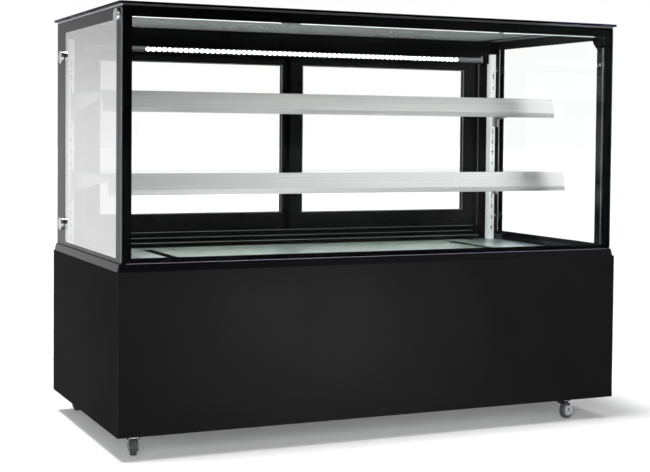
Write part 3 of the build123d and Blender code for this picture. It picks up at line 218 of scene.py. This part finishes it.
# Brushed metal: dark tone, light tone, roughness, stretch of the lines
BRUSHED = {
    "rail": ((0.33, 0.334, 0.333), (0.41, 0.414, 0.413), 0.36, (0.01, 1, 1)),
    "deck": ((0.50, 0.525, 0.515), (0.61, 0.635, 0.625), 0.33, (0.01, 1, 1)),
    "liner": ((0.3, 0.34, 0.38), (0.4, 0.44, 0.48), 0.32, (1, 0.01, 1)),
    "arm": ((0.4, 0.41, 0.41), (0.5, 0.51, 0.51), 0.34, (1, 0.01, 1)),
    "lamp": ((0.16, 0.16, 0.17), (0.24, 0.24, 0.25), 0.3, (0.01, 1, 1)),
    "fins": ((0.55, 0.56, 0.57), (0.68, 0.69, 0.7), 0.35, (1, 1, 0.02)),
}
# Plated metal: tone, roughness
PLATED = {
    "copper": ((0.75, 0.36, 0.2), 0.25),
    "clamp": ((0.8, 0.8, 0.82), 0.22),
    "chrome": ((0.7, 0.71, 0.73), 0.16),
    "screw": ((0.6, 0.6, 0.62), 0.3),
}
# Glass: tone through the pane, tone of its edges, axis that it faces, IOR
GLASS = {
    "front_glass": ((0.995, 1.0, 0.995), (0.01, 0.05, 0.04), "Y", 1.08),
    "side_glass": ((0.99, 1.0, 0.995), (0.1, 0.2, 0.18), "X", 1.12),
    "slab_glass": ((0.95, 0.98, 0.965), (0.01, 0.012, 0.03), "Z", 1.06),
    "ceiling_glass": ((0.9, 0.96, 0.93), (0.12, 0.26, 0.22), "Z", 1.06),
    "flat_glass": ((0.95, 0.98, 0.965), (0.12, 0.26, 0.22), "Z", 1.3),
    "door_glass": ((1.0, 1.0, 1.0), (0.4, 0.45, 0.44), "Y", 1.05),
}
# Glowing pieces: colour, strength. The diodes are the lamp; the glow of the edge under the front pane's
# header is a painted highlight
GLOWING = {"lit_edge": ((0.8, 0.82, 0.82), 0.9), "led": ((1.0, 1.0, 1.0), 40.0)}
# Mirror coat of the side panes: roughness, and its share seen square on and how much that grows
COAT_ROUGHNESS = 0.02
COAT_SHARE = 0.06
COAT_GROWTH = 0.95
OUTER_FACE = 0.5               # metres from the middle, less than the side panes stand off it
# Painted sheen of the rim's side faces, glossier than its front so that they read lighter
RIM_SIDE_SHEEN = ((0.003, 0.003, 0.004), 0.12, 1.34)
# Seal under the slab, with painted light: side faces, front, its right end, where that begins and ends,
# roughness. The pale side faces and the lighter right end paint how light falls
SPACER_PAINTED_LIGHT = ((0.78, 0.78, 0.86), (0.006, 0.006, 0.008), (0.09, 0.09, 0.1), (0.3, 0.72), 0.35)

NODE_MATERIALS = {
    "front_panel": "panel", "left_side_panel": "side_panel", "right_side_panel": "side_panel",
    "rear_panel": "rear_panel", "base_pan": "zinc", "base_frame": "zinc", "rim_band": "rim",
    "insulated_tub": "liner", "deck_plate": "deck", "evaporator_coil": "fins",
    "evaporator_fan_shroud": "plastic", "evaporator_fan_rotor": "plastic", "compressor": "enamel",
    "condenser_coil": "fins", "condenser_fan_shroud": "plastic", "condenser_fan_rotor": "plastic",
    "refrigerant_pipes": "copper", "temperature_controller": "plastic", "set_button": "button",
    "up_button": "button", "down_button": "button", "power_switch": "green",
    "light_switch": "black_rocker", "switch_housings": "plastic", "lead_gland": "plastic",
    "panel_screws": "screw", "front_glass": "front_glass", "left_side_glass": "side_glass",
    "right_side_glass": "side_glass", "top_slab": "slab_glass", "ceiling_glass": "ceiling_glass",
    "top_spacer": "spacer", "glass_clamp_discs": "clamp", "corner_brackets": "frame",
    "rear_posts": "frame", "header_duct": "frame", "rear_sill": "sill", "bottom_track": "frame",
    "left_door_frame": "door_frame", "right_door_frame": "door_frame",
    "left_door_glass": "door_glass", "right_door_glass": "door_glass", "led_lamp": "lamp",
    "pilasters": "pilaster", "shelf_arms": "arm", "upper_shelf_glass": "flat_glass",
    "lower_shelf_glass": "flat_glass", "price_rails": "rail", "caster_plates": "chrome",
    "caster_bolts": "screw",
}
CASTER_MATERIALS = {"caster_fork": "chrome", "caster_wheel": "tyre", "caster_pedal": "plastic"}


def corners(node):
    """Lowest and highest corner of a node."""
    low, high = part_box(node)
    return Vector(low), Vector(high)


def material(name):
    """A new material with its tree and its Principled shader."""
    made = bpy.data.materials.new(name)
    made.use_nodes = True
    return made, made.node_tree, made.node_tree.nodes["Principled BSDF"]


def add(tree, kind, **properties):
    """Add a node and set its properties."""
    node = tree.nodes.new(kind)
    for key, value in properties.items():
        setattr(node, key, value)
    return node


def feed(tree, socket, value):
    """Link a socket to another one, or give it a plain value."""
    if isinstance(value, bpy.types.NodeSocket):
        tree.links.new(value, socket)
    else:
        socket.default_value = value


def calculate(tree, operation, *values, clamp=False):
    """A number worked out from sockets and plain numbers."""
    node = add(tree, "ShaderNodeMath", operation=operation, use_clamp=clamp)
    for socket, value in zip(node.inputs, values):
        feed(tree, socket, value)
    return node.outputs[0]


def between(tree, factor, first, second):
    """A number between two, by a factor."""
    node = add(tree, "ShaderNodeMix", data_type="FLOAT")
    for index, value in ((0, factor), (2, first), (3, second)):
        feed(tree, node.inputs[index], value)
    return node.outputs[0]


def spread(tree, value, span, low, high, shape="LINEAR"):
    """A number that runs from low to high while a value crosses a span."""
    node = add(tree, "ShaderNodeMapRange", interpolation_type=shape)
    tree.links.new(value, node.inputs["Value"])
    for key, number in (("From Min", span[0]), ("From Max", span[1]), ("To Min", low), ("To Max", high)):
        node.inputs[key].default_value = number
    return node.outputs["Result"]


def split(tree, vector):
    """The three parts of a vector, as outputs X, Y and Z."""
    node = add(tree, "ShaderNodeSeparateXYZ")
    tree.links.new(vector, node.inputs["Vector"])
    return node.outputs


def facing(tree, axis):
    """1 on faces square to an axis, and 0 on those along it."""
    normal = add(tree, "ShaderNodeNewGeometry").outputs["True Normal"]
    return calculate(tree, "ABSOLUTE", split(tree, normal)[axis])


def cover(tree, factor, shader):
    """Lay a shader over what a material shows, by a factor."""
    surface = tree.nodes["Material Output"].inputs["Surface"]
    node = add(tree, "ShaderNodeMixShader")
    for socket, source in zip(node.inputs, (factor, surface.links[0].from_socket, shader.outputs[0])):
        tree.links.new(source, socket)
    tree.links.new(node.outputs[0], surface)


def place_texture(tree, scale=(1, 1, 1)):
    """Object coordinates stretched by scale."""
    mapping = add(tree, "ShaderNodeMapping")
    mapping.inputs["Scale"].default_value = scale
    tree.links.new(add(tree, "ShaderNodeTexCoord").outputs["Object"], mapping.inputs["Vector"])
    return mapping.outputs["Vector"]


def noise(tree, vector, scale, detail=3.0, roughness=0.5):
    """A cloudy value, mostly from 0.3 to 0.7."""
    node = add(tree, "ShaderNodeTexNoise")
    for key, value in (("Scale", scale), ("Detail", detail), ("Roughness", roughness)):
        node.inputs[key].default_value = value
    tree.links.new(vector, node.inputs["Vector"])
    return node.outputs["Fac"]


def blend_colours(tree, factor, first, second):
    """A colour between two, while a factor crosses the span of a noise."""
    node = add(tree, "ShaderNodeValToRGB")
    for element, position, colour in zip(node.color_ramp.elements, CLOUD_SPAN, (first, second)):
        element.position = position
        element.color = (*colour, 1.0)
    tree.links.new(factor, node.inputs["Fac"])
    return node.outputs["Color"]


def uneven(tree, cloud, roughness, share):
    """A roughness that varies with a noise by a share of itself."""
    return spread(tree, cloud, CLOUD_SPAN, roughness * (1 - share), roughness * (1 + share))


def bump(tree, height, strength, distance):
    """A normal from a height."""
    node = add(tree, "ShaderNodeBump")
    node.inputs["Strength"].default_value = strength
    node.inputs["Distance"].default_value = distance
    tree.links.new(height, node.inputs["Height"])
    return node.outputs["Normal"]


def painted(name, dark, light, roughness, specular, grain=900.0, relief=0.12, ior=1.5, glow=0.0):
    """Paint or plastic: two close tones, a fine grain and slightly uneven gloss; a glow above 0 is painted
    light.
    """
    made, tree, shader = material(name)
    vector = place_texture(tree)
    cloud = noise(tree, vector, PAINT_CLOUD)
    fine = noise(tree, vector, grain, GRAIN_DETAIL)
    tree.links.new(blend_colours(tree, cloud, dark, light), shader.inputs["Base Color"])
    tree.links.new(uneven(tree, cloud, roughness, PAINT_UNEVEN), shader.inputs["Roughness"])
    tree.links.new(bump(tree, fine, relief, GRAIN_DEPTH), shader.inputs["Normal"])
    shader.inputs["Specular IOR Level"].default_value = specular
    shader.inputs["IOR"].default_value = ior
    shader.inputs["Emission Color"].default_value = (*light, 1.0)
    shader.inputs["Emission Strength"].default_value = glow
    return made


def brushed(name, dark, light, roughness, stretch):
    """Brushed metal: fine lines along one axis, in tone, gloss and relief."""
    made, tree, shader = material(name)
    lines = noise(tree, place_texture(tree, stretch), *BRUSH_LINES)
    tree.links.new(blend_colours(tree, lines, dark, light), shader.inputs["Base Color"])
    tree.links.new(uneven(tree, lines, roughness, BRUSH_UNEVEN), shader.inputs["Roughness"])
    tree.links.new(bump(tree, lines, BRUSH_RELIEF, BRUSH_DEPTH), shader.inputs["Normal"])
    shader.inputs["Metallic"].default_value = 1.0
    return made


def plated(name, tone, roughness):
    """Plated metal with faint clouds."""
    made, tree, shader = material(name)
    cloud = noise(tree, place_texture(tree), PLATED_CLOUD)
    darker = tuple(channel * PLATED_DARK for channel in tone)
    tree.links.new(blend_colours(tree, cloud, darker, tone), shader.inputs["Base Color"])
    tree.links.new(uneven(tree, cloud, roughness, PLATED_UNEVEN), shader.inputs["Roughness"])
    shader.inputs["Metallic"].default_value = 1.0
    return made


def glass(name, tint, edge, flat_axis, ior):
    """Clear pane with a deeper tint on its edges. Lamps shine through it."""
    made, tree, shader = material(name)
    tree.links.new(blend_colours(tree, facing(tree, flat_axis), edge, tint), shader.inputs["Base Color"])
    shader.inputs["Transmission Weight"].default_value = 1.0
    shader.inputs["Roughness"].default_value = 0.0
    shader.inputs["IOR"].default_value = ior
    path = add(tree, "ShaderNodeLightPath").outputs
    soft = calculate(tree, "MAXIMUM", path["Is Shadow Ray"], path["Is Diffuse Ray"])
    through = add(tree, "ShaderNodeBsdfTransparent")
    through.inputs["Color"].default_value = (*tint, 1.0)
    cover(tree, soft, through)
    return made


def add_mirror_coat(made):
    """Mirror coat on the outer face of the side panes, seen from outside."""
    tree = made.node_tree
    geometry = add(tree, "ShaderNodeNewGeometry").outputs
    outward = calculate(tree, "MULTIPLY", split(tree, geometry["True Normal"])["X"],
                        split(tree, geometry["Position"])["X"])
    outside = calculate(tree, "GREATER_THAN", outward, OUTER_FACE)
    front = calculate(tree, "SUBTRACT", 1.0, geometry["Backfacing"])
    weight = add(tree, "ShaderNodeLayerWeight")
    weight.inputs["Blend"].default_value = 0.5
    strength = calculate(tree, "MULTIPLY_ADD", weight.outputs["Facing"], COAT_GROWTH, COAT_SHARE)
    share = calculate(tree, "MULTIPLY", strength, calculate(tree, "MULTIPLY", outside, front))
    coat = add(tree, "ShaderNodeBsdfGlossy")
    coat.inputs["Roughness"].default_value = COAT_ROUGHNESS
    coat.inputs["Color"].default_value = (1.0, 1.0, 1.0, 1.0)
    cover(tree, share, coat)


def glowing(name, colour, strength):
    """Glowing surface with slightly uneven light: the lamp's diodes, and the painted highlight on the front
    pane's edge.
    """
    made, tree, shader = material(name)
    cloud = noise(tree, place_texture(tree), GLOW_CLOUD)
    darker = tuple(channel * GLOW_DARK for channel in colour)
    tree.links.new(blend_colours(tree, cloud, darker, colour), shader.inputs["Emission Color"])
    shader.inputs["Emission Strength"].default_value = strength
    shader.inputs["Base Color"].default_value = (*colour, 1.0)
    return made


def add_painted_side_sheen(made, tone, roughness, ior):
    """Glossier faces towards X, a painted sheen."""
    tree = made.node_tree
    glossy = add(tree, "ShaderNodeBsdfPrincipled")
    glossy.inputs["Base Color"].default_value = (*tone, 1.0)
    glossy.inputs["Roughness"].default_value = roughness
    glossy.inputs["IOR"].default_value = ior
    cover(tree, facing(tree, "X"), glossy)


def seal_with_painted_light(name, side, dark, light, end, roughness):
    """Translucent seal with painted light: pale on the faces towards X, and along the front pale only at its
    right end, where light falls on it.
    """
    made, tree, shader = material(name)
    place = split(tree, add(tree, "ShaderNodeNewGeometry").outputs["Position"])
    along = spread(tree, place["X"], end, 0.0, 1.0, "SMOOTHSTEP")
    mix = add(tree, "ShaderNodeMix", data_type="RGBA")
    mix.inputs[7].default_value = (*side, 1.0)
    tree.links.new(facing(tree, "X"), mix.inputs[0])
    tree.links.new(blend_colours(tree, along, dark, light), mix.inputs[6])
    tree.links.new(mix.outputs[2], shader.inputs["Base Color"])
    shader.inputs["Roughness"].default_value = roughness
    return made


def make_materials():
    """Every material by its name."""
    made = {"spacer": seal_with_painted_light("spacer", *SPACER_PAINTED_LIGHT)}
    for build, table in ((painted, PAINTED), (brushed, BRUSHED), (plated, PLATED), (glass, GLASS),
                         (glowing, GLOWING)):
        for name, values in table.items():
            made[name] = build(name, *values)
    add_mirror_coat(made["side_glass"])
    add_painted_side_sheen(made["rim"], *RIM_SIDE_SHEEN)
    return made


MATERIALS = make_materials()


def dress_nodes():
    """Give every node its material."""
    for name, node in nodes.items():
        kind = "_".join(name.split("_")[:2])
        node.data.materials.clear()
        node.data.materials.append(MATERIALS[NODE_MATERIALS.get(name) or CASTER_MATERIALS[kind]])


def finish_piece(name, mesh, chosen, body):
    """Turn a bmesh into a piece that rides on a body."""
    data = bpy.data.meshes.new(name)
    mesh.to_mesh(data)
    mesh.free()
    piece = bpy.data.objects.new(name, data)
    bpy.context.scene.collection.objects.link(piece)
    data.materials.append(MATERIALS[chosen])
    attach(piece, body)


def add_block(mesh, low, high, edge=0.0):
    """Add a box between two corners, with its edges broken."""
    low, high = Vector(low), Vector(high)
    made = bmesh.ops.create_cube(mesh, size=1.0)["verts"]
    size, middle = high - low, (high + low) / 2
    for vertex in made:
        vertex.co = Vector(vertex.co[i] * size[i] + middle[i] for i in range(3))
    if edge:
        edges = {e for vertex in made for e in vertex.link_edges}
        bmesh.ops.bevel(mesh, geom=list(edges), offset=edge, segments=2, affect="EDGES")


def strip_frame(mesh, plane, depth, outer, inner):
    """Add four strips between two rectangles: plane 0, 1 or 2 is the axis they face."""
    (a0, b0), (a1, b1) = outer
    (c0, d0), (c1, d1) = inner
    for (u0, v0), (u1, v1) in (((a0, b0), (c0, b1)), ((c1, b0), (a1, b1)),
                               ((c0, d1), (c1, b1)), ((c0, b0), (c1, d0))):
        low, high = [u0, v0], [u1, v1]
        low.insert(plane, depth[0])
        high.insert(plane, depth[1])
        add_block(mesh, low, high)


def make_front_print():
    """Black border behind the front pane, and the edge under its head, whose glow is a painted highlight."""
    low, high = corners("front_glass")
    y0 = high.y + FACE_GAP
    y1 = y0 + PRINT
    x0, x1 = low.x + FRONT_SIDE_PRINT, high.x - FRONT_SIDE_PRINT
    top = high.z - FRONT_TOP_PRINT
    mesh = bmesh.new()
    strip_frame(mesh, 1, (y0, y1), ((low.x, low.z), (high.x, high.z)),
                ((x0, low.z + FRONT_LOW_PRINT), (x1, top)))
    finish_piece("front_pane_print", mesh, "print", "case")
    mesh = bmesh.new()
    (gap_start, gap_end), (last_start, last_end) = TRIM_GAPS
    for start, end in ((x0, gap_start), (gap_end, last_start), (last_end, TRIM_END)):
        add_block(mesh, (start, y1, top - TRIM_HEIGHT), (end, y1 + TRIM_DEPTH, top), TRIM_ROUND)
    finish_piece("front_pane_trim", mesh, "lit_edge", "case")


def make_side_prints():
    """Black border on the outer face of each side pane."""
    for name, side in SIDES:
        low, high = corners(f"{name}_side_glass")
        face = high.x if side > 0 else low.x
        depth = sorted((face + side * FACE_GAP, face + side * (FACE_GAP + PRINT)))
        mesh = bmesh.new()
        strip_frame(mesh, 0, depth, ((low.y, low.z), (high.y, high.z)),
                    ((low.y + SIDE_FRONT_PRINT[name], low.z + SIDE_LOW_PRINT),
                     (high.y - SIDE_REAR_PRINT, high.z - SIDE_TOP_PRINT)))
        finish_piece(f"{name}_pane_print", mesh, "side_print", "case")


def make_slab_print():
    """Black border under the slab."""
    low, high = corners("top_slab")
    edge = SLAB_BARE_EDGE
    mesh = bmesh.new()
    strip_frame(mesh, 2, (low.z - FACE_GAP - PRINT, low.z - FACE_GAP),
                ((low.x + edge, low.y + edge), (high.x - edge, high.y - edge)),
                ((low.x + SLAB_SIDE_PRINT, low.y + SLAB_FRONT_PRINT),
                 (high.x - SLAB_SIDE_PRINT, high.y - SLAB_REAR_PRINT)))
    finish_piece("slab_print", mesh, "print", "case")


def make_pane_joints():
    """Clear silicone in the corners between the panes, and a bead at the front pane's foot whose pale lilac
    tone is a painted highlight.
    """
    mesh = bmesh.new()
    for name, side in SIDES:
        low, high = corners(f"{name}_side_glass")
        x = (high.x if side > 0 else low.x) - side * JOINT_SETBACK
        x0, x1 = sorted((x, x + side * JOINT_WIDTH))
        add_block(mesh, (x0, low.y - JOINT_PROUD, low.z + JOINT_END),
                  (x1, low.y + JOINT_WIDTH, high.z - JOINT_END), JOINT_ROUND)
    finish_piece("pane_joints", mesh, "silicone", "case")
    low, high = corners("front_glass")
    mesh = bmesh.new()
    add_block(mesh, (low.x + BEAD_INSET, low.y - BEAD_DEPTH, low.z),
              (high.x - BEAD_INSET, low.y - BEAD_GAP, low.z + BEAD_HEIGHT), BEAD_ROUND)
    finish_piece("rim_bead", mesh, "bead", "case")


def make_leds():
    """Row of lit diodes on the lamp's front, each a flattened dome."""
    low = corners("led_lamp")[0]
    z = low.z + LED_LIFT
    mesh = bmesh.new()
    for index in range(int((LED_END - LED_START) / LED_PITCH) + 1):
        x = LED_START + index * LED_PITCH
        made = bmesh.ops.create_uvsphere(mesh, u_segments=LED_SEGMENTS[0], v_segments=LED_SEGMENTS[1],
                                         radius=1.0)["verts"]
        for vertex in made:
            vertex.co = Vector((x + vertex.co.x * LED_HALF, low.y + vertex.co.y * LED_DEPTH,
                                z + vertex.co.z * LED_HEIGHT / 2))
    finish_piece("lamp_diodes", mesh, "led", "case")


def make_door_gaskets():
    """Grey glazing gasket round the glass of each door, and the seal strip on each jamb."""
    for name, _ in SIDES:
        low, high = corners(f"{name}_door_frame")
        glass_low, glass_high = corners(f"{name}_door_glass")
        x0, x1 = glass_low.x + GASKET_BITE, glass_high.x - GASKET_BITE
        z0, z1 = glass_low.z + GASKET_BITE, glass_high.z - GASKET_BITE
        mesh = bmesh.new()
        for depth in ((low.y - GASKET_PROUD, glass_low.y), (glass_high.y, high.y + GASKET_PROUD)):
            strip_frame(mesh, 1, depth, ((x0, z0), (x1, z1)),
                        ((x0 + GASKET_LIP, z0 + GASKET_LIP), (x1 - GASKET_LIP, z1 - GASKET_LIP)))
        finish_piece(f"{name}_door_gasket", mesh, "gasket", f"{name}_door")
    sill_top = corners("rear_sill")[1].z
    header_low = corners("header_duct")[0].z
    mesh = bmesh.new()
    for _, side in SIDES:
        x0, x1 = sorted((side * JAMB_STRIP, side * (JAMB_STRIP + JAMB_STRIP_WIDTH)))
        add_block(mesh, (x0, JAMB_STRIP_Y - JAMB_STRIP_DEPTH, sill_top + JAMB_STRIP_LIFT),
                  (x1, JAMB_STRIP_Y - FACE_GAP, header_low), JAMB_STRIP_ROUND)
    finish_piece("jamb_edges", mesh, "gasket", "case")


def make_pale_lines():
    """Pale lines on the black profiles: painted highlights on the rear sill and the track, and lines on the
    right pane and the jamb.
    """
    sill = corners("rear_sill")[0]
    track_low, track_high = corners("bottom_track")
    mesh = bmesh.new()
    for y, z in ((sill.y, sill.z + SILL_LINE_HEIGHTS[0]), (sill.y + SILL_STEP, sill.z + SILL_LINE_HEIGHTS[1]),
                 (track_low.y, track_high.z - SILL_LINE)):
        add_block(mesh, (-SILL_LINE_END, y - LINE_PROUD, z), (SILL_LINE_END, y - FACE_GAP, z + SILL_LINE))
    finish_piece("sill_edge_lines", mesh, "edge_line", "case")
    low, high = corners("right_side_glass")
    z0, z1 = low.z + SIDE_LOW_PRINT, high.z - SIDE_TOP_PRINT
    y = low.y + PANE_LINE
    post_y = corners("rear_posts")[0].y
    mesh = bmesh.new()
    add_block(mesh, (low.x - PANE_LINE_PROUD, y - PANE_LINE_HALF, z0),
              (low.x - FACE_GAP, y + PANE_LINE_HALF, z1))
    add_block(mesh, (low.x - FLANGE_LINE, post_y - PANE_LINE_PROUD, z0),
              (low.x - FLANGE_LINE + FLANGE_LINE_WIDTH, post_y - FACE_GAP, z1))
    finish_piece("right_pane_edge_lines", mesh, "edge_line", "case")


def make_wheel_hubs():
    """Pale hub disc with a raised middle in the dish on each side of every wheel."""
    for name in nodes:
        if not name.startswith("caster_wheel"):
            continue
        low, high = corners(name)
        centre, size = (low + high) / 2, high - low
        axis = min(range(3), key=lambda index: size[index])
        turn = Matrix.Rotation(pi / 2, 4, "Y" if axis == 0 else "X")
        mesh = bmesh.new()
        for _, side in SIDES:
            for radius, sunk, depth in HUB_DISCS:
                offset = Vector((0, 0, 0))
                offset[axis] = side * (size[axis] / 2 - sunk - depth / 2)
                place = Matrix.Translation(centre + offset)
                bmesh.ops.create_cone(mesh, cap_ends=True, segments=HUB_SEGMENTS, radius1=radius,
                                      radius2=radius, depth=depth, matrix=place @ turn)
        finish_piece(name.replace("caster_wheel", "wheel_hub"), mesh, "hub", name.replace("caster_", ""))


def make_pilaster_slot_shade():
    """Dark sheet inside each pilaster, behind its slots, that paints the shade in the slots."""
    low, high = corners("pilasters")
    mesh = bmesh.new()
    for _, side in SIDES:
        x = side * PILASTER_PLACE
        add_block(mesh, (x - SLOT_SHADE_HALF, low.y + SLOT_SHADE_DEPTHS[0], low.z + SLOT_SHADE_ENDS[0]),
                  (x + SLOT_SHADE_HALF, low.y + SLOT_SHADE_DEPTHS[1], high.z - SLOT_SHADE_ENDS[1]))
    finish_piece("pilaster_backs", mesh, "print", "case")


def make_pilaster_screws():
    """Screws down each pilaster."""
    y = corners("pilasters")[0].y - SCREW_PROUD
    mesh = bmesh.new()
    for _, side in SIDES:
        for z in SCREW_HEIGHTS:
            turn = Matrix.Translation((side * PILASTER_PLACE, y, z)) @ Matrix.Rotation(pi / 2, 4, "X")
            bmesh.ops.create_cone(mesh, cap_ends=True, segments=SCREW_SEGMENTS,
                                  radius1=SCREW_RADII[0], radius2=SCREW_RADII[1], depth=SCREW_HEAD,
                                  matrix=turn)
    finish_piece("pilaster_screws", mesh, "dark_screw", "case")


def make_camera():
    """Camera at the photograph's place and angle."""
    camera = bpy.data.cameras.new("camera")
    camera.sensor_width = SENSOR
    camera.lens = FOCAL_PIXELS / IMAGE_WIDTH * SENSOR
    camera.shift_y = (CENTRE_ROW - IMAGE_HEIGHT / 2) / IMAGE_WIDTH
    camera.clip_end = CAMERA_REACH
    ahead = Vector((sin(CAMERA_YAW) * cos(CAMERA_DROP), cos(CAMERA_YAW) * cos(CAMERA_DROP),
                    -sin(CAMERA_DROP)))
    right = Vector((cos(CAMERA_YAW), -sin(CAMERA_YAW), 0))
    up = right.cross(ahead)
    turned_right = right * cos(CAMERA_ROLL) + up * sin(CAMERA_ROLL)
    turned_up = up * cos(CAMERA_ROLL) - right * sin(CAMERA_ROLL)
    turn = Matrix((turned_right, turned_up, -ahead)).transposed().to_4x4()
    made = bpy.data.objects.new("camera", camera)
    made.matrix_world = Matrix.Translation(CAMERA_PLACE) @ turn
    bpy.context.scene.collection.objects.link(made)
    bpy.context.scene.camera = made


def make_world():
    """White where it is seen, else dim, and grey behind and dark in front where it is mirrored."""
    world = bpy.data.worlds.new("studio")
    bpy.context.scene.world = world
    world.use_nodes = True
    tree = world.node_tree
    background = tree.nodes["Background"]
    path = add(tree, "ShaderNodeLightPath").outputs
    direction = add(tree, "ShaderNodeTexCoord").outputs["Generated"]
    way = split(tree, direction)
    wall = spread(tree, way["Z"], WALL_FADE, MIRRORED_LOW, MIRRORED_HIGH, "SMOOTHSTEP")
    behind = spread(tree, way["Y"], FRONT_FADE, 0.0, 1.0, "SMOOTHSTEP")
    towards = add(tree, "ShaderNodeVectorMath", operation="DOT_PRODUCT")
    towards.inputs[1].default_value = Vector(PANEL_DIRECTION).normalized()
    tree.links.new(direction, towards.inputs[0])
    panel = spread(tree, towards.outputs["Value"], PANEL_SPREAD, 0.0, PANEL_LEVEL, "SMOOTHSTEP")
    room = calculate(tree, "ADD", between(tree, behind, MIRRORED_FRONT, wall), panel)
    gloss = calculate(tree, "MAXIMUM", path["Is Glossy Ray"], path["Is Transmission Ray"])
    unseen = between(tree, gloss, AMBIENT, room)
    through = calculate(tree, "MULTIPLY", path["Is Transmission Ray"], behind)
    seen = calculate(tree, "MAXIMUM", path["Is Camera Ray"], through)
    tree.links.new(between(tree, seen, unseen, 1.0), background.inputs["Strength"])
    background.inputs["Color"].default_value = (1.0, 1.0, 1.0, 1.0)


def make_floor():
    """Pale floor that keeps the object's shadow, a little darker in gloss."""
    made, tree, shader = material("floor")
    cloud = noise(tree, place_texture(tree), FLOOR_CLOUD)
    tree.links.new(blend_colours(tree, cloud, *FLOOR_TONES), shader.inputs["Base Color"])
    shader.inputs["Roughness"].default_value = FLOOR_ROUGHNESS
    shader.inputs["Specular IOR Level"].default_value = 0.0
    path = add(tree, "ShaderNodeLightPath").outputs
    seen = calculate(tree, "MAXIMUM", path["Is Camera Ray"], path["Is Glossy Ray"])
    seen = calculate(tree, "MAXIMUM", seen, path["Is Transmission Ray"])
    glow = add(tree, "ShaderNodeEmission")
    tree.links.new(calculate(tree, "MULTIPLY", seen, FLOOR_GLOW), glow.inputs["Strength"])
    lit = add(tree, "ShaderNodeAddShader")
    tree.links.new(shader.outputs[0], lit.inputs[0])
    tree.links.new(glow.outputs[0], lit.inputs[1])
    tree.links.new(lit.outputs[0], tree.nodes["Material Output"].inputs["Surface"])
    mirrored = calculate(tree, "SUBTRACT", path["Is Glossy Ray"], path["Is Transmission Ray"], clamp=True)
    dark = add(tree, "ShaderNodeEmission")
    dark.inputs["Strength"].default_value = 0.0
    cover(tree, calculate(tree, "MULTIPLY", mirrored, 1 - FLOOR_MIRRORED), dark)
    mesh = bmesh.new()
    bmesh.ops.create_grid(mesh, x_segments=FLOOR_SEGMENTS, y_segments=FLOOR_SEGMENTS,
                          size=FLOOR_REACH)
    data = bpy.data.meshes.new("floor")
    mesh.to_mesh(data)
    mesh.free()
    data.materials.append(made)
    floor = bpy.data.objects.new("floor", data)
    bpy.context.scene.collection.objects.link(floor)


def make_lights():
    """Two overhead lights with no falloff, one much softer, and two dim softboxes in front."""
    for name, (level, width, tilt) in SUNS.items():
        lamp = bpy.data.lights.new(name, "SUN")
        lamp.energy = level
        lamp.angle = radians(width)
        made = bpy.data.objects.new(name, lamp)
        made.matrix_world = (Matrix.Translation((0, 0, SUN_HEIGHT)) @ Matrix.Rotation(radians(-tilt), 4, "Y")
                             @ Matrix.Rotation(radians(SUN_LEAN), 4, "X"))
        bpy.context.scene.collection.objects.link(made)
    for name, (place, aim, size, watts, mirrored) in SOFTBOXES.items():
        lamp = bpy.data.lights.new(name, "AREA")
        lamp.shape = "RECTANGLE"
        lamp.size, lamp.size_y = size
        lamp.energy = watts
        made = bpy.data.objects.new(name, lamp)
        turn = (Vector(aim) - Vector(place)).to_track_quat("-Z", "Y")
        made.matrix_world = Matrix.Translation(place) @ turn.to_matrix().to_4x4()
        made.visible_camera = False
        made.visible_glossy = mirrored
        made.visible_transmission = False
        bpy.context.scene.collection.objects.link(made)


dress_nodes()
make_front_print()
make_side_prints()
make_slab_print()
make_pane_joints()
make_leds()
make_door_gaskets()
make_pale_lines()
make_wheel_hubs()
make_pilaster_slot_shade()
make_pilaster_screws()
make_camera()
make_world()
make_floor()
make_lights()
bpy.context.scene.view_settings.view_transform = "Standard"
